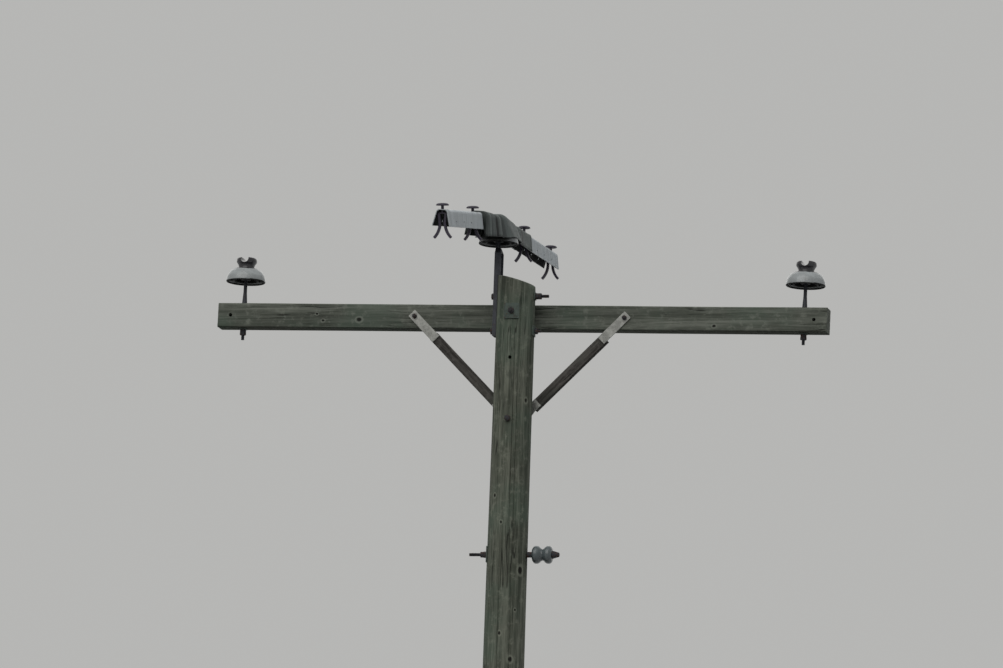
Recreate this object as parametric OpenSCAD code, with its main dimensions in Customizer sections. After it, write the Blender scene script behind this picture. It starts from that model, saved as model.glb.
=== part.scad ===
// Wooden distribution pole with one crossarm, pin insulators and a wildlife cover.
// Origin on the ground at the pole's centre, X along the crossarm, Y along the line, Z up.

/* [Pole] */
// Height of the pole's high edge above the ground
pole_height = 8840; // [8600:10:9400]
// Diameter at the top
pole_top_dia = 187; // [182:1:196]
// Diameter at the ground
pole_foot_dia = 256; // [240:1:300]
// Slope of the roof cut, in degrees
roof_slope = 16; // [8:1:22]
// Depth of the flat gain that the arm is seated in
gain_depth = 11; // [8:0.5:14]
// Diameter of the spare bolt hole below the arm
spare_hole_dia = 17.5; // [14:0.5:22]
// Spare hole below the arm bolt
spare_hole_drop = 229; // [210:1:300]

/* [Crossarm] */
// Length of the arm
arm_length = 3048; // [2800:10:3300]
// Depth of the arm, along the line
arm_depth = 95; // [86:1:105]
// Height of the arm
arm_height = 121; // [110:1:130]
// Chamfer on the arm's long edges
arm_chamfer = 6; // [3:0.5:9]
// Arm bolt below the pole's high edge
arm_drop = 190; // [185:1:220]
// Fall of the arm towards +X, in degrees
arm_tilt = 0.8; // [0:0.1:1.5]
// Spare double-arm bolt hole from the arm's end
end_hole_inset = 64; // [50:1:75]
// Diameter of the spare double-arm bolt holes
end_hole_dia = 17.5; // [14:0.5:22]
// Insulator pin from the arm's end
pin_inset = 120; // [110:1:160]

/* [Bolts] */
// Diameter of the main bolts
bolt_dia = 16; // [14:0.5:18]
// Gap round a bolt in its hole
bolt_gap = 0.75; // [0.5:0.05:1.2]
// Width of a main nut or bolt head across its flats
nut_flats = 27; // [24:1:30]
// Thickness of a main nut or bolt head
nut_height = 14; // [12:1:16]
// Side of the large square washers
washer_side = 76; // [64:1:84]
// Side of the small square washers
small_washer_side = 54; // [46:1:60]
// Thickness of the square washers
washer_thickness = 5; // [3:0.5:7]
// Bolt end past its nut
bolt_tail = 14; // [6:1:30]
// End of the upper bracket bolt past its nuts
upper_bolt_tail = 36; // [20:1:44]

/* [Braces] */
// Brace bolt from the arm's middle
brace_reach = 525; // [480:5:600]
// Brace bolt in the pole below the arm bolt
brace_drop = 529; // [480:1:560]
// Width of the straps
strap_width = 45; // [40:1:50]
// Thickness of the straps
strap_thickness = 6; // [4:0.5:8]
// Strap from the arm's bolt to its inner end
strap_length = 160; // [152:1:190]
// Strap past its bolt
strap_end = 23; // [20:1:30]
// Width of the wooden brace
brace_width = 49; // [45:1:54]
// Thickness of the wooden brace
brace_thickness = 38; // [32:1:44]
// Upper end of the wooden brace from the arm's bolt
brace_end = 138; // [132:1:142]
// Diameter of the brace bolts in the arm
brace_bolt_dia = 12; // [10:0.5:14]
// Strap from the pole bolt to its inner end
lower_strap_length = 152; // [145:1:190]

/* [Insulators] */
// Diameter of the rim
rim_dia = 194; // [180:1:200]
// Height over the head
insulator_height = 122; // [118:1:130]
// Diameter of the neck
neck_dia = 78; // [72:1:84]
// Diameter of the head over its ears
head_dia = 102; // [94:1:106]
// Radius of the groove across the top
top_groove_radius = 19; // [14:0.5:22]
// Rim above the arm
rim_clearance = 110; // [100:1:140]
// Diameter of the pins' threaded heads
pin_dia = 24; // [20:0.2:26]
// Diameter of the arm pins' stems
stem_dia = 17; // [15:0.5:20]
// Diameter of the arm pins' feet
pin_foot_dia = 25; // [22:0.5:34]
// Depth of the socket from the rim
socket_depth = 66; // [56:1:72]

/* [Pole-top bracket] */
// Width of the channel
channel_width = 60; // [50:1:70]
// Depth of the channel
channel_depth = 32; // [28:1:36]
// Thickness of the channel's steel
channel_steel = 5; // [4:0.5:6]
// Gap between the channel's back and the pole
channel_standoff = 15; // [12:0.5:18]
// Rim of the middle insulator above the arm bolt
middle_rim_rise = 345; // [330:1:380]
// Upper bracket bolt above the arm bolt
upper_bolt_rise = 87; // [75:1:95]
// Lower bracket bolt below the arm bolt
lower_bolt_drop = 85; // [80:1:95]
// Channel below its lower bolt
channel_tail = 26; // [20:1:40]

/* [Neutral spool] */
// Neutral bolt below the arm bolt
neutral_drop = 1184; // [1000:1:1400]
// Length of the spool
spool_length = 98; // [90:1:104]
// Diameter of the spool
spool_dia = 88; // [82:1:94]
// Diameter at the spool's groove
spool_groove_dia = 58; // [50:1:62]
// Bore of the spool
spool_bore = 17.5; // [17:0.1:20]
// Neutral bolt past its nuts
neutral_tail = 56; // [30:1:70]
// Pole face to spool
spool_standoff = 27; // [20:1:40]
// Length of the neutral bolt's tapered head
taper_head = 34; // [25:1:40]

/* [Wildlife cover] */
// Wall of the cover
cover_wall = 4; // [3:0.5:5]
// Gap between the cover's sliding pieces and under the hood
cover_gap = 0.3; // [0.2:0.1:0.8]
// Depth of a cover arm below its crown
cover_height = 80; // [78:1:88]
// Width of a cover arm at its crown
cover_crown = 56; // [54:1:60]
// Width of a cover arm at its mouth
cover_mouth = 80; // [76:1:86]
// Length of a cover arm
cover_arm_length = 720; // [700:5:740]
// Overlap of the near cover arm on the hood's near sleeve
near_overlap = 89; // [75:1:95]
// Overlap of the far cover arm in the hood's far sleeve
far_overlap = 95; // [75:1:110]
// Half length of the hood's dome
dome_half = 168; // [162:1:174]
// Near end of the hood's bellows from the insulator
near_bellows = 440; // [430:1:444]
// Far end of the hood's bellows from the insulator
far_bellows = 330; // [320:1:360]
// Half length of the hood over its sleeves
hood_half = 560; // [555:1:575]
// Width of the dome over its crown
dome_crown = 140; // [138:1:144]
// Crown of the hood above the insulator's rim
dome_rise = 130; // [130:1:138]
// Radius of the dome's ends in plan
dome_end_radius = 88; // [80:1:92]
// Radius of the dome's upper end edges
dome_edge_radius = 60; // [50:1:66]
// Number of ribs in the near bellows
near_ribs = 5; // [4:1:6]
// Number of ribs in the far bellows
far_ribs = 3; // [2:1:4]
// Length of a rib
rib_length = 20; // [16:1:24]
// Height of a rib
rib_height = 4; // [3:0.5:5]
// Fall of the near cover arm, in degrees
near_fall = 10; // [9:0.5:11]
// Rise of the far cover arm, in degrees
far_rise = 2.5; // [1.5:0.5:3.5]
// Diameter of the cover pins' heads
cap_dia = 58; // [50:1:66]
// Thickness of the cover pins' heads
cap_thickness = 8; // [6:1:10]
// Thickness of the cover pins' legs
leg_thickness = 6; // [5:0.5:7]
// Width of the cover pins' legs
leg_width = 14; // [10:1:18]
// Gap between the legs of a cover pin
leg_gap = 22; // [20:0.5:23]
// Outer cover pin from the near arm's end
near_pin_inset = 22; // [20:1:40]
// Inner cover pin from the hood's near end
near_hood_pin_inset = 15; // [13:1:40]
// Outer cover pin from the far arm's end
far_pin_inset = 32; // [25:1:60]
// Inner cover pin from the hood's far end
far_hood_pin_inset = 15; // [13:1:40]

/* [Hidden] */
$fn = 64;
far_past = 1000;
arm_z = pole_height - arm_drop;
pole_cut_x = pole_top_dia / 2;
gain_y = pole_top_dia / 2 - gain_depth;
arm_mid_y = gain_y + arm_depth / 2;
arm_back_y = gain_y + arm_depth;
arm_top = arm_height / 2;
hole_dia = bolt_dia + 2 * bolt_gap;
brace_hole_dia = brace_bolt_dia + 2 * bolt_gap;
brace_z = arm_z - brace_drop;
gain_below_brace = 80;
gain_bottom = brace_z - gain_below_brace;
neutral_z = arm_z - neutral_drop;
upper_bolt_z = arm_z + upper_bolt_rise;
lower_bolt_z = arm_z - lower_bolt_drop;
middle_rim_z = arm_z + middle_rim_rise;
channel_x = -(pole_top_dia / 2 + channel_standoff);
middle_x = channel_x + pin_dia / 2 - 2;
arm_pin_x = arm_length / 2 - pin_inset;
groove_floor = insulator_height - 27;
socket_gap = 0.3;
shoulder_rise = 30;
shoulder_radius = rim_dia / 2 - 4;
hood_z = middle_rim_z + dome_rise;
near_line_rise = 23;
far_line_rise = 2;
cover_below = 12;
bellows_below = 60;
corner_share = 0.3;
bellows_crown = 92;
bellows_mouth = 120;
near_bellows_drop = 18;
near_bellows_height = 104;
near_end_crown = 88;
near_end_mouth = 108;
near_end_height = 118;
near_end_step = 8;
far_bellows_height = 64;
bellows_root = 30;
stem_size = 14;
stem_hole_dia = stem_size + 2 * cover_gap;
corner_steps = 6;
cap_lifts = [21, 20, 34, 26];
bracket_neck = 45;
bracket_taper = 26;
taper_head_dia = 40;
taper_head_end = 22;
spacer_wall = 5;
latch_height = 6;
leg_bend_rise = 16;
cap_bevel = 6;
leg_curve = 107;
leg_sweep = 45;
pin_washer_side = 38;
upper_washer_side = 36;
pin_tail = 24;
pin_flange = 8;
pin_flange_height = 6;
pin_foot_height = 60;
pin_thread_start = 14;
brace_nut_flats = 21;
brace_nut_height = 10;
brace_bolt_tail = 7;
brace_head_dia = 30;
brace_head_top = 20;
brace_head_height = 6;
crank_length = 20;
crank_clearance = 6;

// Radius of the pole at a height
function pole_radius(z) = (pole_foot_dia + (pole_top_dia - pole_foot_dia) * z / pole_height) / 2;

// Seat of a nut on a curved washer at height z, which its lower corner touches
function nut_seat(z) = pole_radius(z - nut_flats / 2 / cos(30)) + washer_thickness;

// Places that turn a shape's own Z axis along X or Y
module along_x() { rotate([0, 90, 0]) children(); }
module along_y() { rotate([-90, 0, 0]) children(); }

module flip_x(side) {
    if (side < 0) mirror([1, 0, 0]) children();
    else children();
}

// Frame of the arm, whose origin is the arm bolt
module on_arm() { translate([0, 0, arm_z]) rotate([0, arm_tilt, 0]) children(); }

module pole_cone(extra = 0) {
    cylinder(h = pole_height, r1 = pole_foot_dia / 2 + extra, r2 = pole_top_dia / 2 + extra);
}

// The space above the sloping roof cut
module above_roof() {
    translate([-pole_cut_x, 0, pole_height])
        rotate([0, roof_slope, 0])
            translate([-far_past / 2, -far_past / 2, 0])
                cube([2 * far_past, far_past, far_past]);
}

module pole_body() {
    difference() {
        pole_cone();
        above_roof();
        translate([-far_past / 2, gain_y, gain_bottom])
            cube([far_past, far_past, pole_height]);
    }
}

module hex_bar(height, flats = nut_flats) {
    cylinder(h = height, r = flats / 2 / cos(30), $fn = 6);
}

// Nut on a bolt, with its seat at z = 0
module nut(dia = bolt_dia, flats = nut_flats, height = nut_height) {
    difference() {
        hex_bar(height, flats);
        translate([0, 0, -1]) cylinder(h = height + 2, d = dia + 0.2);
    }
}

// Square plate washer with its seat at z = 0
module plate_washer(side = washer_side, hole = hole_dia) {
    difference() {
        translate([-side / 2, -side / 2, 0]) cube([side, side, washer_thickness]);
        translate([0, 0, -1]) cylinder(h = washer_thickness + 2, d = hole);
    }
}

// Washer that is curved round the pole at height z, on the side that the turn gives
module curved_washer(z, turn, side) {
    difference() {
        intersection() {
            pole_cone(washer_thickness);
            translate([0, 0, z]) rotate([0, 0, turn])
                translate([0, -side / 2, -side / 2]) cube([far_past, side, side]);
        }
        pole_cone();
        translate([0, 0, z]) rotate([0, 0, turn]) along_x() cylinder(h = far_past, d = hole_dia);
    }
}

module pole_shaft() {
    color("#44473d") difference() {
        pole_body();
        translate([0, -far_past, arm_z]) along_y() cylinder(h = 2 * far_past, d = hole_dia);
        translate([0, -far_past, brace_z]) along_y() cylinder(h = 2 * far_past, d = hole_dia);
        translate([0, -far_past, arm_z - spare_hole_drop])
            along_y() cylinder(h = 2 * far_past, d = spare_hole_dia);
        for (z = [upper_bolt_z, lower_bolt_z, neutral_z])
            translate([-far_past, 0, z]) along_x() cylinder(h = 2 * far_past, d = hole_dia);
    }
}

module crossarm() {
    half = arm_depth / 2;
    profile = [
        [-arm_top, -half + arm_chamfer], [-arm_top + arm_chamfer, -half],
        [arm_top - arm_chamfer, -half], [arm_top, -half + arm_chamfer],
        [arm_top, half - arm_chamfer], [arm_top - arm_chamfer, half],
        [-arm_top + arm_chamfer, half], [-arm_top, half - arm_chamfer]
    ];
    color("#464a42") on_arm() difference() {
        translate([-arm_length / 2, gain_y + half, 0])
            along_x() linear_extrude(height = arm_length) polygon(profile);
        translate([0, gain_y - 1, 0]) along_y() cylinder(h = arm_depth + 2, d = hole_dia);
        for (side = [-1, 1]) {
            translate([side * (arm_length / 2 - end_hole_inset), gain_y - 1, 0])
                along_y() cylinder(h = arm_depth + 2, d = end_hole_dia);
            translate([side * brace_reach, gain_y - 1, 0])
                along_y() cylinder(h = arm_depth + 2, d = brace_hole_dia);
            translate([side * arm_pin_x, gain_y + half, -arm_top - 1])
                cylinder(h = arm_height + 2, d = hole_dia);
        }
    }
}

// Bolt with a hexagonal head at z = 0, pointing along +Z
module headed_bolt(length, dia = bolt_dia) {
    translate([0, 0, -nut_height]) hex_bar(nut_height);
    cylinder(h = length, d = dia);
}

front_seat_y = -nut_seat(arm_z);

module arm_bolt() {
    reach = arm_back_y + washer_thickness - front_seat_y + nut_height + bolt_tail;
    color("#4a4a48") translate([0, arm_back_y + washer_thickness, arm_z])
        mirror([0, 1, 0]) along_y() headed_bolt(reach);
}

module arm_front_washer() { color("#50554e") curved_washer(arm_z, -90, washer_side); }

module arm_front_nut() {
    color("#3c3c3a") translate([0, front_seat_y, arm_z]) mirror([0, 1, 0]) along_y() nut();
}

module arm_back_washer() {
    color("#50554e") translate([0, arm_back_y, arm_z]) along_y() plate_washer();
}

// Foot of a brace at the pole bolt, its top at the arm bolt, its length and its lean
function brace_top_x(side) = side * brace_reach * cos(arm_tilt);
function brace_top_z(side) = brace_drop - side * brace_reach * sin(arm_tilt);
function brace_length(side) = norm([brace_top_x(side), brace_top_z(side)]);
function brace_lean(side) = atan2(brace_top_x(side), brace_top_z(side));

// Crank of a lower strap, whose raised part stays clear of the pole's round side
crank_lean = atan2(brace_reach, brace_drop);
crank_pole_x = sqrt(pow(pole_radius(brace_z), 2) - pow(gain_y - strap_thickness, 2));
crank_start = (crank_pole_x + strap_width / 2 * cos(crank_lean)) / sin(crank_lean) + crank_clearance;
crank_end = crank_start - crank_length;
brace_foot = crank_start + 3;

// Frame of a brace: Z along the brace, its face against the arm's at y = 0
module on_brace(side) {
    translate([0, gain_y, brace_z]) rotate([0, brace_lean(side), 0]) children();
}

module brace_wood(side) {
    on_brace(side) translate([-brace_width / 2, 0, brace_foot])
        cube([brace_width, brace_thickness, brace_length(side) - brace_end - brace_foot]);
}

module strap_bar(points) {
    translate([-strap_width / 2, 0, 0])
        rotate([90, 0, 90]) linear_extrude(height = strap_width) polygon(points);
}

// Flat strap at the arm and cranked strap at the pole, which lies outside the other brace's by step
module brace_straps(side, step) {
    length = brace_length(side);
    t = strap_thickness;
    on_brace(side) {
        difference() {
            strap_bar([[-t, length - strap_length], [0, length - strap_length],
                [0, length + strap_end], [-t, length + strap_end]]);
            translate([0, -t - 1, length]) along_y() cylinder(h = t + 2, d = brace_hole_dia);
        }
        difference() {
            strap_bar([[-t, lower_strap_length], [0, lower_strap_length], [0, crank_start],
                [step, crank_end], [step, -strap_end], [step - t, -strap_end],
                [step - t, crank_end], [-t, crank_start]]);
            translate([0, step - t - 1, 0]) along_y() cylinder(h = t + 2, d = hole_dia);
        }
    }
}

module brace_left() { color("#4d4a46") brace_wood(-1); }
module brace_right() { color("#4d4a46") brace_wood(1); }
module brace_left_straps() { color("#8b8b84") brace_straps(-1, strap_thickness); }
module brace_right_straps() { color("#6c6c66") brace_straps(1, 2 * strap_thickness); }

// Round-headed bolts that hold the straps to the arm, with their nuts on the straps
module brace_arm_bolts() {
    reach = arm_depth + strap_thickness + brace_nut_height + brace_bolt_tail;
    color("#3c3c3a") on_arm() for (side = [-1, 1])
        translate([side * brace_reach, arm_back_y, 0]) {
            along_y() cylinder(h = brace_head_height, d1 = brace_head_dia, d2 = brace_head_top);
            mirror([0, 1, 0]) along_y() cylinder(h = reach, d = brace_bolt_dia);
        }
}

module brace_arm_nuts() {
    color("#3c3c3a") on_arm() for (side = [-1, 1])
        translate([side * brace_reach, gain_y - strap_thickness, 0])
            mirror([0, 1, 0]) along_y() nut(brace_bolt_dia, brace_nut_flats, brace_nut_height);
}

brace_head_y = -pole_radius(brace_z - nut_flats / 2);
brace_strap_y = gain_y + 2 * strap_thickness;

module brace_pole_bolt() {
    reach = brace_strap_y + washer_thickness - brace_head_y + nut_height + bolt_tail;
    color("#3c3c3a") translate([0, brace_head_y, brace_z]) along_y() headed_bolt(reach);
}

module brace_pole_washer() {
    color("#50554e") translate([0, brace_strap_y, brace_z])
        along_y() plate_washer(small_washer_side);
}

module brace_pole_nut() {
    color("#3c3c3a") translate([0, brace_strap_y + washer_thickness, brace_z]) along_y() nut();
}

// Shell of an insulator about its own axis, with its rim at z = 0
module insulator() {
    rim = rim_dia / 2;
    neck = neck_dia / 2;
    head = head_dia / 2;
    socket = pin_dia / 2 + socket_gap;
    top = insulator_height;
    difference() {
        rotate_extrude() polygon([
            [rim - 3, 0], [rim, 5], [rim - 1, 15], [shoulder_radius, shoulder_rise],
            [rim - 11, 44], [rim - 15, 50],
            [rim - 24, 60], [rim - 33, 66], [neck + 6, 68], [neck, 72], [neck, 82], [neck + 5, 91],
            [head - 1, 98], [head, 105], [head - 3, top - 5], [head - 10, top], [0, top],
            [0, socket_depth], [socket, socket_depth], [socket, 16], [socket + 9, 12],
            [socket + 14, 16], [socket + 18, 40], [rim - 44, 36], [rim - 42, 10], [rim - 36, 6],
            [rim - 31, 12], [rim - 28, 36], [rim - 16, 26], [rim - 10, 4]
        ]);
        translate([0, -head - 1, groove_floor + top_groove_radius])
            along_y() cylinder(h = 2 * head + 2, r = top_groove_radius);
        translate([-top_groove_radius, -head - 1, groove_floor + top_groove_radius])
            cube([2 * top_groove_radius, 2 * head + 2, insulator_height]);
    }
}

module on_arm_pin(side) {
    on_arm() translate([side * arm_pin_x, arm_mid_y, arm_top]) children();
}

module insulator_left() { color("#7d807f") on_arm_pin(-1) translate([0, 0, rim_clearance]) insulator(); }
module insulator_right() { color("#7d807f") on_arm_pin(1) translate([0, 0, rim_clearance]) insulator(); }
module insulator_middle() {
    color("#7d807f") translate([middle_x, 0, middle_rim_z]) insulator();
}

// Steel pin whose foot stands on the arm, with its bolt end below the arm
module arm_pin(side) {
    bolt_end = arm_height + washer_thickness + 2 * nut_height + pin_tail;
    socket_top = rim_clearance + socket_depth;
    head_start = rim_clearance + pin_thread_start;
    on_arm_pin(side) {
        cylinder(h = pin_flange_height, d = pin_foot_dia + pin_flange);
        cylinder(h = pin_foot_height, d1 = pin_foot_dia, d2 = stem_dia);
        cylinder(h = socket_top, d = stem_dia);
        translate([0, 0, head_start]) cylinder(h = socket_top - head_start, d = pin_dia);
        translate([0, 0, -bolt_end]) cylinder(h = bolt_end, d = bolt_dia);
    }
}

module arm_pin_left() { color("#3a3b3c") arm_pin(-1); }
module arm_pin_right() { color("#3a3b3c") arm_pin(1); }

module arm_pin_washers() {
    color("#50554e") for (side = [-1, 1])
        on_arm_pin(side) translate([0, 0, -arm_height]) mirror([0, 0, 1])
            plate_washer(pin_washer_side);
}

module arm_pin_nuts() {
    color("#3c3c3a") for (side = [-1, 1])
        on_arm_pin(side) translate([0, 0, -arm_height - washer_thickness]) mirror([0, 0, 1])
            nut(height = 2 * nut_height);
}

// Channel with its open side to the pole, tapered at the top to the pin of the middle insulator
module pole_top_bracket() {
    foot_z = lower_bolt_z - channel_tail;
    shoulder_z = middle_rim_z - bracket_neck;
    taper = bracket_taper;
    half = channel_width / 2;
    steel = channel_steel;
    depth = channel_depth;
    pin_half = pin_dia / 2;
    height = shoulder_z - foot_z;
    color("#3f434b") difference() {
        union() {
            translate([channel_x, 0, foot_z]) linear_extrude(height = height)
                polygon([[0, -half], [depth, -half], [depth, steel - half], [steel, steel - half],
                    [steel, half - steel], [depth, half - steel], [depth, half], [0, half]]);
            intersection() {
                translate([channel_x, far_past / 2, shoulder_z])
                    rotate([90, 0, 0]) linear_extrude(height = far_past)
                        polygon([[0, 0], [depth, 0], [pin_dia, taper], [0, taper]]);
                translate([channel_x - far_past / 2, 0, shoulder_z])
                    rotate([90, 0, 90]) linear_extrude(height = far_past)
                        polygon([[-half, 0], [half, 0], [pin_half, taper], [-pin_half, taper]]);
            }
            translate([middle_x, 0, shoulder_z])
                cylinder(h = middle_rim_z + socket_depth - shoulder_z, d = pin_dia);
        }
        pole_body();
        for (z = [upper_bolt_z, lower_bolt_z])
            translate([channel_x - 1, 0, z]) along_x() cylinder(h = steel + 2, d = hole_dia);
    }
}

module bracket_bolt(z, nuts, tail) {
    reach = nut_seat(z) - channel_x + nuts * nut_height + tail;
    translate([channel_x, 0, z]) along_x() headed_bolt(reach);
}

module bracket_bolt_upper() { color("#34343a") bracket_bolt(upper_bolt_z, 2, upper_bolt_tail); }
module bracket_bolt_lower() { color("#34343a") bracket_bolt(lower_bolt_z, 1, bolt_tail); }

module bracket_washers() {
    color("#50554e") {
        curved_washer(upper_bolt_z, 0, upper_washer_side);
        curved_washer(lower_bolt_z, 0, small_washer_side);
    }
}

module bracket_nuts() {
    color("#34343a") {
        translate([nut_seat(upper_bolt_z), 0, upper_bolt_z])
            along_x() nut(height = 2 * nut_height);
        translate([nut_seat(lower_bolt_z), 0, lower_bolt_z])
            along_x() nut();
    }
}

neutral_face = pole_radius(neutral_z - hole_dia / 2 - spacer_wall);
spool_x = neutral_face + spool_standoff;
neutral_nut_x = -nut_seat(neutral_z);

module neutral_bolt() {
    end = spool_x + spool_length;
    reach = end - neutral_nut_x + 2 * nut_height + neutral_tail;
    color("#3a3a3a") translate([end, 0, neutral_z]) {
        along_x() cylinder(h = taper_head, d1 = taper_head_dia, d2 = taper_head_end);
        mirror([1, 0, 0]) along_x() cylinder(h = reach, d = bolt_dia);
    }
}

module neutral_washer() { color("#50554e") curved_washer(neutral_z, 180, washer_side); }

module neutral_nuts() {
    color("#3c3c3a") translate([neutral_nut_x, 0, neutral_z])
        mirror([1, 0, 0]) along_x() nut(height = 2 * nut_height);
}

module neutral_spacer() {
    color("#3a3a3a") translate([neutral_face, 0, neutral_z]) along_x() difference() {
        cylinder(h = spool_standoff, d = hole_dia + 2 * spacer_wall);
        translate([0, 0, -1]) cylinder(h = spool_standoff + 2, d = hole_dia);
    }
}

// Glazed spool with two flanges and one groove for the wire
module neutral_spool() {
    r = spool_dia / 2;
    g = spool_groove_dia / 2;
    b = spool_bore / 2;
    w = spool_length;
    color("#5f6a66") translate([spool_x, 0, neutral_z]) along_x() rotate_extrude() polygon([
        [b, 0], [r - 18, 0], [r - 6, 5], [r, 17], [r, 24], [r - 4, 33], [g + 3, 42], [g, w / 2],
        [g + 3, w - 42], [r - 4, w - 33], [r, w - 24], [r, w - 17], [r - 6, w - 5], [r - 18, w], [b, w]
    ]);
}

// Outline of a cover: flat crown with rounded corners and straight sides that spread to the mouth
function cover_outline(crown, mouth, height, below) =
    let (r = crown * corner_share, centre = crown / 2 - r, foot = [mouth / 2 - centre, r - height],
        turn = atan2(foot[1], foot[0]) + acos(r / norm(foot)))
    concat(
        [for (step = [0 : corner_steps])
            let (angle = turn + (90 - turn) * step / corner_steps)
            [centre + r * cos(angle), r * sin(angle)]],
        [for (step = [corner_steps : -1 : 0])
            let (angle = turn + (90 - turn) * step / corner_steps)
            [-centre - r * cos(angle), r * sin(angle)]],
        (below == 0) ? [[-mouth / 2, foot[1]], [mouth / 2, foot[1]]]
            : [[-mouth / 2, foot[1]], [-mouth / 2, foot[1] - below],
                [mouth / 2, foot[1] - below], [mouth / 2, foot[1]]]
    );

// Filled length of cover along +Y with the top of its crown at z = 0
module cover_bar(length, crown, mouth, height, below = 0) {
    translate([0, length, -crown * corner_share]) rotate([90, 0, 0])
        linear_extrude(height = length) polygon(cover_outline(crown, mouth, height, below));
}

// Open length of cover, with its wall inside the given section
module cover_shell(length, crown, mouth, height) {
    difference() {
        cover_bar(length, crown, mouth, height);
        translate([0, -1, -cover_wall])
            cover_bar(length + 2, crown - 2 * cover_wall, mouth - 2 * cover_wall, height - cover_wall,
                cover_below);
    }
}

// Frames of the two cover lines: Y runs outwards, z = 0 is the crown of the cover arms
module on_near_line() {
    translate([middle_x, 0, hood_z + near_line_rise])
        rotate([near_fall, 0, 0]) mirror([0, 1, 0]) children();
}

module on_far_line() {
    translate([middle_x, 0, hood_z + far_line_rise]) rotate([far_rise, 0, 0]) children();
}

// Places of the cover pins: 0 and 1 on the near arm, 2 and 3 on the far arm, from its outer end in
near_reach = hood_half - near_overlap + cover_arm_length;
far_reach = hood_half - far_overlap + cover_arm_length;
near_pins = [near_reach - near_pin_inset, hood_half - near_hood_pin_inset];
far_pins = [hood_half - far_hood_pin_inset, far_reach - far_pin_inset];

module stem_hole(place) {
    translate([0, place, -2 * cover_crown]) cylinder(h = 4 * cover_crown, d = stem_hole_dia);
}

module cover_arm(reach, pins) {
    difference() {
        translate([0, reach - cover_arm_length, 0])
            cover_shell(cover_arm_length, cover_crown, cover_mouth, cover_height);
        for (place = pins) stem_hole(place);
    }
}

module cover_arm_near() { color("#7d8285") on_near_line() cover_arm(near_reach, near_pins); }
module cover_arm_far() { color("#84888a") on_far_line() cover_arm(far_reach, far_pins); }

module hood_pin_holes() {
    on_near_line() stem_hole(near_pins[1]);
    on_far_line() stem_hole(far_pins[0]);
}

module cover_pin_near_outer() {
    color("#2e2b34") on_near_line() translate([0, near_pins[0], 0]) cover_pin(cap_lifts[0]);
}

module cover_pin_near_inner() {
    color("#2e2b34") on_near_line() translate([0, near_pins[1], 0])
        cover_pin(cap_lifts[1], near_sleeve_trim);
}

module cover_pin_far_inner() {
    color("#2e2b34") on_far_line() translate([0, far_pins[0], 0]) cover_pin(cap_lifts[2]);
}

module cover_pin_far_outer() {
    color("#2e2b34") on_far_line() translate([0, far_pins[1], 0]) cover_pin(cap_lifts[3]);
}

// Dome's section is set out from the insulator's shoulder, where the hood's foot rests
dome_height = dome_rise - shoulder_rise;
dome_mouth = 2 * (shoulder_radius + cover_gap + cover_wall);
near_sleeve_trim = -2 * (cover_wall + cover_gap);
far_sleeve_trim = 2 * (cover_wall + cover_gap);

module on_line(way) {
    if (way < 0) on_near_line() children();
    else on_far_line() children();
}

// Height of a cover line's crown at a distance from the middle insulator
function line_crown(way, place) =
    hood_z + ((way < 0) ? near_line_rise - place * tan(near_fall) : far_line_rise + place * tan(far_rise));

function bellows_end(way) = (way < 0) ? near_bellows : far_bellows;
function bellows_ribs(way) = (way < 0) ? near_ribs : far_ribs;
function mix(start, end, share) = start + (end - start) * share;

// Side view or plan view of the dome with its rounded ends, as a flat shape
module dome_view(half_length, low, high, radius, low_radius) {
    polygon(concat(
        [for (turn = [0 : 15 : 90])
            [half_length - radius + radius * cos(turn), high - radius + radius * sin(turn)]],
        [for (turn = [90 : 15 : 180])
            [radius - half_length + radius * cos(turn), high - radius + radius * sin(turn)]],
        (low_radius == 0) ? [[-half_length, low], [half_length, low]] : concat(
            [for (turn = [180 : 15 : 270])
                [radius - half_length + radius * cos(turn), low + radius + radius * sin(turn)]],
            [for (turn = [270 : 15 : 360])
                [half_length - radius + radius * cos(turn), low + radius + radius * sin(turn)]])
    ));
}

// Dome over the insulator, filled, made smaller all round by the inset
module hood_dome(inset, below = 0) {
    half = dome_half - inset;
    end_radius = dome_end_radius - inset;
    side = dome_mouth / 2 - inset;
    translate([middle_x, 0, hood_z]) intersection() {
        translate([0, -half, -inset])
            cover_bar(2 * half, dome_crown - 2 * inset, dome_mouth - 2 * inset, dome_height - inset, below);
        translate([-dome_mouth, 0, 0]) rotate([90, 0, 90]) linear_extrude(height = 2 * dome_mouth)
            dome_view(half, -2 * dome_height, -inset, dome_edge_radius - inset, 0);
        translate([0, 0, -2 * dome_height]) rotate([0, 0, 90]) linear_extrude(height = 3 * dome_height)
            dome_view(half, -side, side, end_radius, end_radius);
    }
}

// Bellows' crown width, mouth width, depth and crown height at the dome and at the sleeve
function bellows_root_size(way) = (way < 0)
    ? [bellows_crown, bellows_mouth, near_bellows_height, hood_z - near_bellows_drop]
    : [bellows_crown, bellows_mouth, far_bellows_height, hood_z];
function bellows_end_size(way) = (way < 0)
    ? [near_end_crown, near_end_mouth, near_end_height,
        line_crown(way, near_bellows) + near_sleeve_trim / 2 + near_end_step]
    : [cover_crown + far_sleeve_trim, cover_mouth + far_sleeve_trim, cover_height + far_sleeve_trim / 2,
        line_crown(way, far_bellows) + far_sleeve_trim / 2];

// Length of the bellows, filled, at a share of the way from the dome to the sleeve
module bellows_slice(way, start, length, share, grow, below = 0) {
    size = mix(bellows_root_size(way), bellows_end_size(way), share) + [grow, grow, grow / 2, grow / 2];
    translate([middle_x, (way < 0) ? -start - length : start, size[3]])
        cover_bar(length, size[0], size[1], size[2], below);
}

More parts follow.
